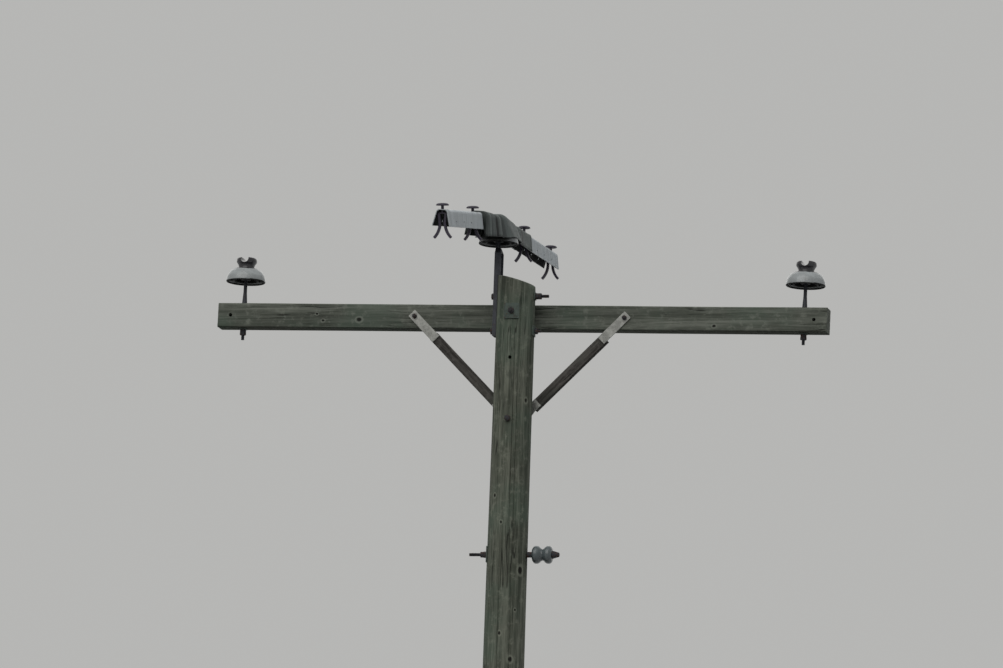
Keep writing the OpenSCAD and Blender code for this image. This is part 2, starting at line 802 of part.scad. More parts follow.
// Sleeve at the end of the hood, filled, on the line of its cover arm
module hood_sleeve(way, grow) {
    trim = (way < 0) ? near_sleeve_trim : far_sleeve_trim;
    start = bellows_end(way) - rib_length / 2;
    over = (grow < 0) ? rib_length : 0;
    on_line(way) translate([0, start - over, (trim + grow) / 2])
        cover_bar(hood_half - start + 2 * over, cover_crown + trim + grow,
            cover_mouth + trim + grow, cover_height + trim / 2 + grow / 2,
            (grow < 0) ? bellows_below : 0);
}

// Stepped bellows between the dome and a sleeve, each step with a raised rib
module hood_bellows(way) {
    count = bellows_ribs(way);
    pitch = (bellows_end(way) - dome_half) / count;
    for (rib = [0 : count - 1]) {
        share = (rib + 0.5) / count;
        start = dome_half + rib * pitch;
        inner = (rib == 0) ? bellows_root : 0;
        bellows_slice(way, start - inner, pitch + inner, share, 0);
        bellows_slice(way, start + (pitch - rib_length) / 2, rib_length, share, 2 * rib_height);
    }
}

module hood_bellows_space(way) {
    count = bellows_ribs(way);
    pitch = (bellows_end(way) - dome_half) / count;
    for (rib = [0 : count - 1]) {
        inner = (rib == 0) ? bellows_root : 0;
        bellows_slice(way, dome_half + rib * pitch - cover_wall - inner, pitch + inner,
            (rib + 0.5) / count, -2 * cover_wall, bellows_below);
    }
}

module cover_hood() {
    color("#4c524b") difference() {
        union() {
            hood_dome(0);
            for (way = [-1, 1]) {
                hood_bellows(way);
                hood_sleeve(way, 0);
            }
        }
        hood_dome(cover_wall, cover_below);
        for (way = [-1, 1]) {
            hood_bellows_space(way);
            hood_sleeve(way, -2 * cover_wall);
        }
        hood_pin_holes();
    }
}

// Depth below a section's crown at which it is wide enough for a half width
function section_depth(crown, mouth, height, half) =
    let (r = crown * corner_share, along = half - crown / 2 + r)
    (along <= 0) ? 0 : (along < r) ? r - sqrt(r * r - along * along)
        : r + (height - r) * (along - r) / (mouth / 2 - crown / 2);

// Top of a pin's cross bar, inside a section of cover that is smaller than the arm's by trim
function latch_top(trim) =
    (trim - 2 * cover_wall) / 2 - section_depth(cover_crown + trim - 2 * cover_wall,
        cover_mouth + trim - 2 * cover_wall, cover_height + trim / 2 - cover_wall,
        leg_gap / 2 + leg_thickness + cover_gap);

// Push pin: round head, stem through the crown, and two legs that curve outwards below the mouth
module cover_pin(lift, trim = 0) {
    leg_x = leg_gap / 2;
    latch_z = latch_top(trim) - latch_height;
    bend_z = leg_bend_rise - cover_height;
    translate([0, 0, lift]) cylinder(h = cap_thickness, d1 = cap_dia, d2 = cap_dia - 2 * cap_bevel);
    translate([0, 0, latch_z]) cylinder(h = lift - latch_z, d = stem_size);
    for (side = [-1, 1]) flip_x(side) {
        translate([0, -leg_width / 2, latch_z])
            cube([leg_x + leg_thickness, leg_width, latch_height]);
        translate([leg_x, -leg_width / 2, bend_z])
            cube([leg_thickness, leg_width, latch_z - bend_z + latch_height]);
        translate([leg_x + leg_curve, leg_width / 2, bend_z]) rotate([90, 0, 0])
            rotate([0, 0, 180]) rotate_extrude(angle = leg_sweep)
                translate([leg_curve - leg_thickness, 0]) square([leg_thickness, leg_width]);
    }
}

pole_shaft();
crossarm();
arm_bolt();
arm_front_washer();
arm_front_nut();
arm_back_washer();
brace_left();
brace_right();
brace_left_straps();
brace_right_straps();
brace_arm_bolts();
brace_arm_nuts();
brace_pole_bolt();
brace_pole_washer();
brace_pole_nut();
arm_pin_left();
arm_pin_right();
arm_pin_washers();
arm_pin_nuts();
insulator_left();
insulator_right();
insulator_middle();
pole_top_bracket();
bracket_bolt_upper();
bracket_bolt_lower();
bracket_washers();
bracket_nuts();
neutral_bolt();
neutral_washer();
neutral_nuts();
neutral_spacer();
neutral_spool();
cover_hood();
cover_arm_near();
cover_arm_far();
cover_pin_near_outer();
cover_pin_near_inner();
cover_pin_far_inner();
cover_pin_far_outer();
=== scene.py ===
"""Wooden utility pole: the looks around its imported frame, laid out as an add-on and run as a script."""

import math

import bmesh
import bpy
from mathutils import Matrix, Vector, noise


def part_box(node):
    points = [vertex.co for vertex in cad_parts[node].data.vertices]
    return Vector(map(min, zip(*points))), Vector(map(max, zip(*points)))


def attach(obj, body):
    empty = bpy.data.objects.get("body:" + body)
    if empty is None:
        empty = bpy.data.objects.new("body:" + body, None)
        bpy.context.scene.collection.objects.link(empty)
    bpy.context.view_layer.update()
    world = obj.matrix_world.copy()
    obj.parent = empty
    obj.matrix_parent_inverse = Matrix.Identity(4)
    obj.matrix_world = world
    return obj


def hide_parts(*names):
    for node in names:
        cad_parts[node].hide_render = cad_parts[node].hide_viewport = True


bl_info = {
    "name": "Wooden utility pole",
    "version": (1, 0, 0),
    "blender": (4, 5, 0),
    "location": "View3D > Sidebar > Utility pole",
    "description": "Builds a weathered utility pole with its crossarm, insulators and wildlife cover",
    "category": "Object",
}

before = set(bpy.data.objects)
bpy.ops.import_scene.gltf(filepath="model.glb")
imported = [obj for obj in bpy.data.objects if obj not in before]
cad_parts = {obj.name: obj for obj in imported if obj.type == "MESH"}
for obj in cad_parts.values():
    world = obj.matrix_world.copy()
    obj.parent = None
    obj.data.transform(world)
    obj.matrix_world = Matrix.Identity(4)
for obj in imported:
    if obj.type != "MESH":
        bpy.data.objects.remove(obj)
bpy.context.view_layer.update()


def node_box(node):
    """Lowest corner, highest corner and middle of a CAD node, in metres."""
    low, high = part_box(node)
    return low, high, (low + high) / 2


POLE_LOW, POLE_HIGH, _ = node_box("pole_shaft")
POLE_HEIGHT = POLE_HIGH.z
POLE_FOOT_RADIUS = POLE_HIGH.x
MIDDLE_RIM, _, MIDDLE = node_box("insulator_middle")
ARM_TILT = math.radians(0.8)


# Sizes and colours that a user would change


def size(name, description, default):
    return bpy.props.FloatProperty(
        name=name, description=description, default=default, unit="LENGTH", precision=4
    )


def count(name, description, default):
    return bpy.props.IntProperty(name=name, description=description, default=default, min=1)


def colour(name, description, default):
    return bpy.props.FloatVectorProperty(
        name=name, description=description, default=default, subtype="COLOR", size=3, min=0.0, max=1.0
    )


def share(name, description, default):
    return bpy.props.FloatProperty(
        name=name, description=description, default=default, subtype="FACTOR", min=0.0, max=1.0
    )


def turn(name, description, degrees):
    return bpy.props.FloatProperty(
        name=name, description=description, default=math.radians(degrees), unit="ROTATION", subtype="ANGLE"
    )


class PoleSizes(bpy.types.PropertyGroup):
    """Sizes of the pole's wooden pieces"""

    top_radius: size("Top radius", "Radius of the pole at its top", 0.0935)
    gain_y: size("Gain face", "Distance from the pole's axis to the flat that the arm is seated on", 0.0825)
    gain_bottom: size("Gain bottom", "Height of the flat's lower end", 8.041)
    arm_bolt_z: size("Arm bolt", "Height of the arm bolt", 8.65)
    brace_bolt_z: size("Brace bolt", "Height of the brace bolt", 8.121)
    spare_hole_z: size("Spare hole", "Height of the spare hole", 8.421)
    neutral_bolt_z: size("Neutral bolt", "Height of the neutral bolt", 7.466)
    upper_bolt_z: size("Upper bracket bolt", "Height of the upper bracket bolt", 8.737)
    lower_bolt_z: size("Lower bracket bolt", "Height of the lower bracket bolt", 8.565)
    hole_radius: size("Hole radius", "Radius of the bolt holes", 0.00875)
    check_depth: size("Check depth", "Depth of the drying checks in the pole", 0.006)
    roof_slope: turn("Roof slope", "Slope of the pole's roof cut", 16.0)
    sides: count("Sides", "Faces round the pole", 176)
    rings: count("Rings", "Rings of faces up the pole", 230)


class ArmSizes(bpy.types.PropertyGroup):
    """Sizes of the crossarm and its braces"""

    length: size("Length", "Length of the arm", 3.048)
    depth: size("Depth", "Depth of the arm along the line", 0.095)
    height: size("Height", "Height of the arm", 0.121)
    chamfer: size("Chamfer", "Chamfer on the arm's long edges", 0.006)
    pin_inset: size("Pin inset", "Insulator pin from the arm's end", 0.120)
    hole_inset: size("Hole inset", "Spare hole from the arm's end", 0.064)
    brace_reach: size("Brace reach", "Brace bolt from the arm's middle", 0.525)
    brace_width: size("Brace width", "Width of the wooden braces", 0.049)
    brace_depth: size("Brace depth", "Thickness of the wooden braces", 0.038)
    strap_width: size("Strap width", "Width of the straps", 0.045)
    strap_steel: size("Strap steel", "Thickness of the straps", 0.006)
    strap_length: size("Strap length", "Strap from the arm's bolt to its inner end", 0.160)
    brace_end: size("Brace end", "Wooden brace's upper end from the arm's bolt", 0.138)
    brace_start: size("Brace start", "Wooden brace's lower end from the pole's bolt", 0.1148)
    strap_corner: size("Strap corner", "Radius of a strap's square corners", 0.003)
    strap_end: size("Strap end", "Strap past its bolt", 0.023)
    foot_strap_length: size("Foot strap length", "Strap from the pole bolt to its inner end", 0.152)
    crank_start: size("Crank start", "Upper end of a strap's crank from the pole bolt", 0.1118)
    crank_end: size("Crank end", "Lower end of a strap's crank from the pole bolt", 0.0918)


class HardwareSizes(bpy.types.PropertyGroup):
    """Sizes of the bolts, nuts and washers"""

    bolt_radius: size("Bolt radius", "Radius of the main bolts", 0.008)
    washer_side: size("Washer side", "Side of the large square washers", 0.076)
    small_washer_side: size("Small washer side", "Side of the small square washers", 0.054)
    upper_washer_side: size("Upper washer side", "Side of the upper bracket washer", 0.036)
    pin_washer_side: size("Pin washer side", "Side of the washers under the arm", 0.038)
    thread_length: size("Thread length", "Length of the thread on the main bolts", 0.060)
    brace_bolt_radius: size("Brace bolt radius", "Radius of the brace bolts in the arm", 0.006)
    brace_nut_flats: size("Brace nut flats", "Width of those bolts' nuts across their flats", 0.021)
    brace_nut_height: size("Brace nut height", "Thickness of those nuts", 0.010)
    brace_tail: size("Brace tail", "Those bolts' ends past their nuts", 0.007)
    pin_tail: size("Pin tail", "End of an insulator pin past its nuts", 0.024)
    pin_foot_radius: size("Pin foot radius", "Radius of an insulator pin at its foot", 0.0125)
    pin_stem_radius: size("Pin stem radius", "Radius of an insulator pin's stem", 0.0085)
    pin_head_radius: size("Pin head radius", "Radius of an insulator pin's threaded head", 0.012)
    pin_thread_start: size("Pin thread start", "Start of that head above the insulator's rim", 0.014)
    taper_head: size("Taper head", "Length of the neutral bolt's tapered head", 0.034)
    taper_head_radius: size("Taper head radius", "Radius of that head at the spool", 0.020)
    taper_end_radius: size("Taper end radius", "Radius of that head at its end", 0.011)
    neutral_thread: size("Neutral thread", "Length of the thread on the neutral bolt", 0.105)
    nut_flats: size("Nut flats", "Width of a main nut across its flats", 0.027)
    nut_height: size("Nut height", "Thickness of a main nut", 0.014)
    washer: size("Washer", "Thickness of the washers", 0.005)
    thread_pitch: size("Thread pitch", "Distance between two turns of thread", 0.0021)
    thread_depth: size("Thread depth", "Depth of the thread", 0.0011)
    edge: size("Edge", "Rounding of the steel's edges", 0.0012)


class InsulatorSizes(bpy.types.PropertyGroup):
    """Sizes of the insulators and the neutral spool"""

    rim_radius: size("Rim radius", "Radius of an insulator's rim", 0.097)
    height: size("Height", "Height of an insulator over its head", 0.122)
    neck_radius: size("Neck radius", "Radius of the neck", 0.039)
    head_radius: size("Head radius", "Radius of the head", 0.051)
    groove_radius: size("Groove radius", "Radius of the groove across the top", 0.019)
    groove_depth: size("Groove depth", "Depth of that groove", 0.027)
    socket_radius: size("Socket radius", "Radius of the socket for the pin", 0.0123)
    socket_depth: size("Socket depth", "Depth of the socket from the rim", 0.066)
    # The bell's outside below this height takes the near-black inner finish: painted shade on the lip.
    lip: size("Lip", "Height of a bell's bare dark lip above its rim", 0.0055)
    glaze_line: size("Glaze line", "Lower end of the dark glaze above the rim", 0.0600)
    rim_clearance: size("Rim clearance", "Rim above the arm", 0.110)
    spool_radius: size("Spool radius", "Radius of the neutral spool", 0.044)
    spool_groove_radius: size("Spool groove radius", "Radius at the spool's groove", 0.029)
    sides: count("Sides", "Faces round an insulator", 96)


class CoverSizes(bpy.types.PropertyGroup):
    """Sizes of the wildlife cover"""

    wall: size("Wall", "Thickness of the plastic", 0.004)
    gap: size("Gap", "Gap between the sliding pieces", 0.0003)
    height: size("Height", "Depth of a cover arm below its crown", 0.080)
    crown: size("Crown", "Width of a cover arm over its crown", 0.056)
    mouth: size("Mouth", "Width of a cover arm at its mouth", 0.080)
    corner_share: share("Corner share", "Radius of a crown's corners as a share of its width", 0.3)
    arm_length: size("Arm length", "Length of a cover arm", 0.720)
    near_reach: size("Near reach", "Outer end of the near arm from the insulator", 1.191)
    far_reach: size("Far reach", "Outer end of the far arm from the insulator", 1.185)
    near_trim: size("Near trim", "Width of the near sleeve over that of a cover arm", -0.0086)
    far_trim: size("Far trim", "Width of the far sleeve over that of a cover arm", 0.0086)
    near_rise: size("Near rise", "Crown line of the near arm above the dome, over the insulator", 0.023)
    far_rise: size("Far rise", "Crown line of the far arm above the dome, over the insulator", 0.002)
    near_fall: turn("Near fall", "Fall of the near cover arm", 10.0)
    far_climb: turn("Far climb", "Rise of the far cover arm", 2.5)
    dome_half: size("Dome half", "Half length of the hood's dome", 0.168)
    dome_crown: size("Dome crown", "Width of the dome over its crown", 0.140)
    dome_mouth: size("Dome mouth", "Width of the dome at its foot", 0.1946)
    dome_rise: size("Dome rise", "Crown of the dome above the insulator's rim", 0.130)
    dome_foot: size("Dome foot", "Foot of the dome above the insulator's rim", 0.030)
    dome_corner: size("Dome corner", "Radius of the dome's corners in plan", 0.088)
    dome_edge: size("Dome edge", "Radius of the dome's upper edges at its ends, seen from the side", 0.060)
    near_bellows: size("Near bellows", "Near end of the bellows from the insulator", 0.440)
    far_bellows: size("Far bellows", "Far end of the bellows from the insulator", 0.330)
    bellows_crown: size("Bellows crown", "Width of the bellows' crown at the dome", 0.092)
    bellows_mouth: size("Bellows mouth", "Width of the bellows' mouth at the dome", 0.120)
    bellows_root: size("Bellows root", "Length of the bellows inside the dome", 0.030)
    near_root_height: size("Near root height", "Depth of the near bellows at the dome", 0.104)
    near_root_drop: size("Near root drop", "Crown of the near bellows below the dome's", 0.018)
    near_end_crown: size("Near end crown", "Width of the near bellows' crown at its outer end", 0.088)
    near_end_mouth: size("Near end mouth", "Width of the near bellows' mouth at its outer end", 0.108)
    near_end_height: size("Near end height", "Depth of the near bellows at its outer end", 0.118)
    near_end_step: size("Near end step", "Step from the near sleeve's crown up to that end", 0.008)
    far_root_height: size("Far root height", "Depth of the far bellows at the dome", 0.064)
    hood_half: size("Hood half", "Half length of the hood over its sleeves", 0.560)
    ring_height: size("Ring height", "Height of the ring at the near side of the dome", 0.004)
    valley_depth: size("Valley depth", "Depth of the valley between that ring and the near ribs", 0.010)
    near_rib_height: size("Near rib height", "Height of the near bellows' fine ribs", 0.0050)
    near_rib_pitch: size("Near rib pitch", "Distance between two of those ribs", 0.0265)
    far_rib_height: size("Far rib height", "Height of the far bellows' ribs", 0.003)
    far_rib_pitch: size("Far rib pitch", "Distance between two of those ribs", 0.054)
    near_root_dip: size("Near root dip", "Foot of the dome's near end below the rest of its foot", 0.022)
    near_shift: size("Near shift", "Near cover arm's middle from the insulator's along the arm", -0.0065)
    near_flare: size("Near flare", "Growth of the near arm's mouth at its outer end, to each side", 0.004)
    roll: turn("Roll", "Lean of the cover arms towards the pole's right, away from straight", 4.5)
    hole_radius: size("Hole radius", "Radius of the row of holes in a cover arm's sides", 0.006)
    hole_depth: size("Hole depth", "Depth of that row below the crown", 0.055)
    hole_pitch: size("Hole pitch", "Distance between two holes of the row", 0.160)
    cap_radius: size("Cap radius", "Radius of a cover pin's head", 0.031)
    cap_thickness: size("Cap thickness", "Thickness of a cover pin's head", 0.0125)
    stem_radius: size("Stem radius", "Radius of a cover pin's stem", 0.007)
    latch_thickness: size("Latch thickness", "Thickness of a cover pin's cross bar", 0.006)
    leg_gap: size("Leg gap", "Gap between a cover pin's legs", 0.022)
    leg_thickness: size("Leg thickness", "Thickness of a cover pin's legs at their tips", 0.0115)
    neck_gap: size("Neck gap", "Gap between a cover pin's legs at the mouth", 0.012)
    leg_root: size("Leg root", "Thickness of a cover pin's legs at its cross bar", 0.0125)
    leg_width: size("Leg width", "Width of a cover pin's legs", 0.017)
    leg_bend_rise: size("Leg bend rise", "Start of the legs' curve above the mouth", 0.016)
    leg_sweep: turn("Leg sweep", "Turn of the legs' curve", 45.0)


class Finishes(bpy.types.PropertyGroup):
    """Colours of the finishes, as linear values"""

    pole_dark: colour("Pole dark", "Dark grain of the pole", (0.053, 0.059, 0.044))
    pole_light: colour("Pole light", "Pale grain of the pole", (0.192, 0.199, 0.156))
    lichen: colour("Lichen", "Green growth on the wood", (0.082, 0.120, 0.088))
    arm_dark: colour("Arm dark", "Dark grain of the arm", (0.067, 0.073, 0.058))
    arm_light: colour("Arm light", "Pale grain of the arm", (0.172, 0.180, 0.150))
    brace_dark: colour("Brace dark", "Dark grain of the braces", (0.035, 0.031, 0.028))
    brace_light: colour("Brace light", "Pale grain of the braces", (0.120, 0.112, 0.100))
    zinc: colour("Zinc", "Pale galvanised steel", (0.30, 0.30, 0.275))
    old_zinc: colour("Old zinc", "Weathered galvanised steel", (0.072, 0.092, 0.078))
    dark_steel: colour("Dark steel", "Dark weathered steel", (0.036, 0.038, 0.044))
    rust: colour("Rust", "Rust on the steel", (0.082, 0.036, 0.018))
    bell: colour("Bell", "Glaze of the insulators' bells", (0.272, 0.286, 0.281))
    inner: colour("Inner", "Glaze inside and below the bells", (0.026, 0.026, 0.025))
    # Painted shade: near-black colour for the insides, undersides and lips of the bells, where only shade
    # falls.
    head: colour("Head", "Dark glaze of the insulators' heads", (0.016, 0.015, 0.018))
    spool: colour("Spool", "Glaze of the neutral spool", (0.075, 0.092, 0.094))
    cover: colour("Cover", "Weathered plastic of the cover arms", (0.36, 0.385, 0.39))
    hood: colour("Hood", "Weathered plastic of the hood", (0.067, 0.080, 0.074))
    # Painted shade: near-black colour of the cover's inside faces, where only shade falls.
    cover_shaded_inside: colour("Cover inside", "Grimy plastic inside the cover", (0.020, 0.022, 0.021))
    cover_pin: colour("Cover pin", "Dark plastic of the cover pins", (0.024, 0.018, 0.034))
    # This dirt colour is also the tone of the painted shade on the middle bell.
    dirt: colour("Dirt", "Dirt in streaks and corners", (0.030, 0.029, 0.024))
    floor: colour("Floor", "Plain floor and backdrop", (0.47, 0.47, 0.46))
    ground: colour("Ground", "Floor as it lights the object from below", (0.035, 0.035, 0.033))


# Ends of the near bellows' forms, outwards from the dome
NEAR_FORM = {"ring_end": 0.050, "valley": 0.052, "valley_end": 0.096, "ribs": 0.104}


# Finishes


FINISH = {}


def shade(base, factor):
    """A colour made darker or paler by a factor."""
    return tuple(factor * value for value in base)


class Graph:
    """The nodes of one procedural finish, added and joined by plain calls."""

    def __init__(self, name):
        self.name = name
        self.material = bpy.data.materials.new(name)
        self.material.use_nodes = True
        self.tree = self.material.node_tree
        self.shader = self.tree.nodes["Principled BSDF"]
        self.place = self.tree.nodes.new("ShaderNodeTexCoord").outputs["Object"]

    def feed(self, socket, value):
        """Joins a socket to another, or sets it to a constant."""
        if isinstance(value, bpy.types.NodeSocket):
            self.tree.links.new(value, socket)
        elif hasattr(value, "__len__") and len(value) == 3 and socket.type == "RGBA":
            socket.default_value = (*value, 1.0)
        else:
            socket.default_value = value

    def coords(self, scale=(1, 1, 1), turn=(0, 0, 0), shift=(0, 0, 0)):
        """Object coordinates, turned and then stretched."""
        turned = self.tree.nodes.new("ShaderNodeMapping")
        self.feed(turned.inputs["Vector"], self.place)
        turned.inputs["Rotation"].default_value = turn
        turned.inputs["Location"].default_value = shift
        stretched = self.tree.nodes.new("ShaderNodeMapping")
        self.feed(stretched.inputs["Vector"], turned.outputs["Vector"])
        stretched.inputs["Scale"].default_value = scale
        return stretched.outputs["Vector"]

    def cloud(self, vector, scale, detail=5.0, roughness=0.6, distortion=0.0):
        node = self.tree.nodes.new("ShaderNodeTexNoise")
        self.feed(node.inputs["Vector"], vector)
        node.inputs["Scale"].default_value = scale
        node.inputs["Detail"].default_value = detail
        node.inputs["Roughness"].default_value = roughness
        node.inputs["Distortion"].default_value = distortion
        return node.outputs["Fac"]

    def cells(self, vector, scale, feature="F1"):
        node = self.tree.nodes.new("ShaderNodeTexVoronoi")
        node.feature = feature
        self.feed(node.inputs["Vector"], vector)
        node.inputs["Scale"].default_value = scale
        return node.outputs["Distance"]

    def ramp(self, value, low, high, bottom=0.0, top=1.0):
        """Smooth change from bottom to top while value goes from low to high."""
        node = self.tree.nodes.new("ShaderNodeMapRange")
        node.interpolation_type = "SMOOTHSTEP"
        values = {"Value": value, "From Min": low, "From Max": high, "To Min": bottom, "To Max": top}
        for name, number in values.items():
            self.feed(node.inputs[name], number)
        return node.outputs["Result"]

    def compute(self, operation, first, second=0.0):
        node = self.tree.nodes.new("ShaderNodeMath")
        node.operation = operation
        self.feed(node.inputs[0], first)
        self.feed(node.inputs[1], second)
        return node.outputs[0]

    def plus(self, first, second):
        return self.compute("ADD", first, second)

    def times(self, first, second):
        return self.compute("MULTIPLY", first, second)

    def less(self, first, second):
        return self.compute("SUBTRACT", first, second)

    def blend(self, amount, first, second):
        node = self.tree.nodes.new("ShaderNodeMix")
        node.data_type = "RGBA"
        self.feed(node.inputs["Factor"], amount)
        self.feed(node.inputs["A"], first)
        self.feed(node.inputs["B"], second)
        return node.outputs["Result"]

    def away_from(self, point, stretch=(1, 1, 1)):
        """Distance from a point, in stretched coordinates."""
        node = self.tree.nodes.new("ShaderNodeVectorMath")
        node.operation = "DISTANCE"
        self.feed(node.inputs[0], self.coords(stretch))
        stretched = tuple(place * share for place, share in zip(point, stretch))
        self.feed(node.inputs[1], stretched)
        return node.outputs["Value"]

    def along(self, axis):
        """One Object coordinate."""
        node = self.tree.nodes.new("ShaderNodeSeparateXYZ")
        self.feed(node.inputs[0], self.place)
        return node.outputs[axis]

    def finish(self, base, roughness, bump=None, depth=0.001, metal=0.0, coat=0.0, shine=0.5):
        """Joins the colour, roughness and relief to the shader and keeps the material under its name."""
        self.feed(self.shader.inputs["Base Color"], base)
        self.feed(self.shader.inputs["Roughness"], roughness)
        self.feed(self.shader.inputs["Metallic"], metal)
        self.shader.inputs["Specular IOR Level"].default_value = shine
        if coat:
            self.shader.inputs["Coat Weight"].default_value = coat
            self.shader.inputs["Coat Roughness"].default_value = 0.12
        if bump is not None:
            node = self.tree.nodes.new("ShaderNodeBump")
            node.inputs["Strength"].default_value = 1.0
            node.inputs["Distance"].default_value = depth
            self.feed(node.inputs["Height"], bump)
            self.feed(self.shader.inputs["Normal"], node.outputs["Normal"])
        FINISH[self.name] = self.material
        return self.material


def wood(name, dark, light, growth, stretch, turn=(0, 0, 0), knots=(), growth_share=0.45):
    """Weathered wood: fibre and streaks along the grain, growth in patches, drying checks and knots."""
    g = Graph(name)
    grain = g.coords(stretch, turn)
    fibre = g.cloud(grain, 210, 7, 0.7)
    streaks = g.cloud(grain, 42, 5, 0.6, 0.4)
    bands = g.cloud(grain, 13, 3, 0.5)
    patches = g.cloud(g.place, 3.1, 4, 0.6)
    mottle = g.cloud(g.place, 26, 6, 0.7)
    tone = g.plus(g.times(streaks, 0.55), g.times(fibre, 0.45))
    base = g.blend(g.ramp(tone, 0.37, 0.66), dark, light)
    base = g.blend(g.ramp(bands, 0.42, 0.68, 0.0, 0.45), base, shade(dark, 0.55))
    base = g.blend(g.ramp(patches, 0.46, 0.66, 0.0, growth_share), base, growth)
    base = g.blend(g.ramp(mottle, 0.5, 0.72, 0.0, 0.55), base, shade(light, 1.25))
    line = g.compute("ABSOLUTE", g.less(g.cloud(grain, 24, 2, 0.5, 0.2), 0.5))
    where = g.ramp(g.cloud(g.place, 5.3, 2), 0.5, 0.62)
    checks = g.times(g.ramp(line, 0.004, 0.012, 1.0, 0.0), where)
    base = g.blend(g.times(checks, 0.65), base, (0.008, 0.007, 0.006))
    rough = g.ramp(tone, 0.3, 0.7, 0.95, 0.78)
    height = g.less(tone, checks)
    for point, radius, squash in knots:
        away = g.compute("DIVIDE", g.away_from(point, squash), radius)
        ring = g.times(g.ramp(away, 1.0, 1.25), g.ramp(away, 1.5, 2.1, 1.0, 0.0))
        base = g.blend(g.times(ring, 0.45), base, shade(light, 1.3))
        core = g.ramp(g.plus(away, g.times(mottle, 0.3)), 0.8, 1.25, 0.92, 0.0)
        base = g.blend(core, base, (0.011, 0.010, 0.009))
        height = g.less(height, core)
    return g.finish(base, rough, height, 0.0022, shine=0.12)


def steel(name, base, rust, rusty=0.35, gloss=0.5, spangle=0.25):
    """Galvanised steel: zinc flakes, dull patches, dirt and rust where the zinc has gone."""
    g = Graph(name)
    patches = g.cloud(g.place, 34, 5, 0.6)
    grit = g.cloud(g.place, 420, 4, 0.7)
    flakes = g.cells(g.place, 160)
    tint = g.blend(g.ramp(patches, 0.35, 0.68), shade(base, 0.62), shade(base, 1.28))
    tint = g.blend(g.ramp(flakes, 0.1, 0.6, 0.0, spangle), tint, shade(base, 1.5))
    spots = g.plus(g.times(g.cloud(g.place, 75, 6, 0.68), 0.8), g.times(grit, 0.2))
    rusted = g.ramp(spots, 0.64 - 0.26 * rusty, 0.74 - 0.2 * rusty, 0.0, 0.9)
    tint = g.blend(rusted, tint, rust)
    rough = g.ramp(g.plus(patches, rusted), 0.3, 1.4, gloss, 0.92)
    metal = g.times(g.less(1.0, rusted), 0.45)
    return g.finish(tint, rough, g.plus(g.times(grit, 0.5), rusted), 0.0005, metal)


def glaze(name, base, dirt, dull=0.18, shade_spot=None, coat=0.35, shine=0.5):
    """Fired glaze: cloudy colour, pits, dusty streaks, a wet-looking coat and, when a spot is given, painted
    shade round that spot.
    """
    g = Graph(name)
    clouds = g.cloud(g.place, 22, 4, 0.6)
    runs = g.cloud(g.coords((1, 1, 0.12)), 60, 5, 0.65)
    pits = g.cells(g.place, 620)
    crazing = g.cells(g.place, 150, "DISTANCE_TO_EDGE")
    tint = g.blend(g.ramp(clouds, 0.32, 0.7), shade(base, 0.86), shade(base, 1.12))
    tint = g.blend(g.ramp(crazing, 0.0, 0.02, 0.14, 0.0), tint, dirt)
    dust = g.ramp(runs, 0.52, 0.78, 0.0, 0.3)
    tint = g.blend(dust, tint, dirt)
    # Painted shade: the colour darkens to the dirt tone round the given spot, standing in for the hood's
    # shade on the bell.
    if shade_spot:
        point, radius = shade_spot
        away = g.plus(g.away_from(point), g.times(clouds, 0.4 * radius))
        tint = g.blend(g.ramp(away, radius, 1.5 * radius, 0.82, 0.0), tint, dirt)
    rough = g.ramp(g.plus(dust, clouds), 0.3, 1.0, dull, dull + 0.32)
    return g.finish(tint, rough, g.times(g.ramp(pits, 0.0, 0.25), 0.4), 0.0003, 0.0, coat, shine)


def plastic(name, base, dirt, grime=0.4, dull=0.55, painted_light_bands=(), shine=0.5):
    """Weathered plastic: chalky bands across it, dirty runs, bands of painted shade and painted highlight
    where given, specks and moulding grain.
    """
    g = Graph(name)
    bands = g.cloud(g.coords((0.06, 1, 0.06)), 70, 3, 0.5)
    clouds = g.cloud(g.place, 11, 4, 0.6)
    runs = g.cloud(g.coords((1, 1, 0.10)), 85, 5, 0.65)
    grain = g.cloud(g.place, 700, 3, 0.6)
    tint = g.blend(g.ramp(bands, 0.35, 0.65), shade(base, 0.86), shade(base, 1.12))
    tint = g.blend(g.ramp(clouds, 0.35, 0.7, 0.0, 0.35), tint, shade(base, 1.22))
    soil = g.ramp(runs, 0.5, 0.76, 0.0, grime)
    tint = g.blend(soil, tint, dirt)
    # Painted shade and painted highlight: each band darkens or lightens the colour across the hood.
    for place_y, half_width, share_changed, tone in painted_light_bands:
        off = g.compute("ABSOLUTE", g.less(g.along("Y"), place_y))
        amount = g.ramp(off, half_width, 2.0 * half_width, share_changed, 0.0)
        tint = g.blend(amount, tint, shade(base, tone))
    specks = g.ramp(g.cloud(g.place, 150, 3, 0.6), 0.66, 0.74, 0.0, 0.6)
    tint = g.blend(specks, tint, shade(dirt, 0.5))
    rough = g.ramp(g.plus(clouds, soil), 0.3, 1.1, dull, 0.9)
    return g.finish(tint, rough, g.plus(g.times(grain, 0.6), bands), 0.0006, shine=shine)


# Tools that the operators share


TOUCH = 1e-6


def settings(group):
    return getattr(bpy.context.scene, group)


def material(name):
    """The finished material of a name, which the finishes operator makes."""
    if name not in FINISH:
        raise RuntimeError(f"finish {name} isn't ready: run the finishes operator first")
    return FINISH[name]


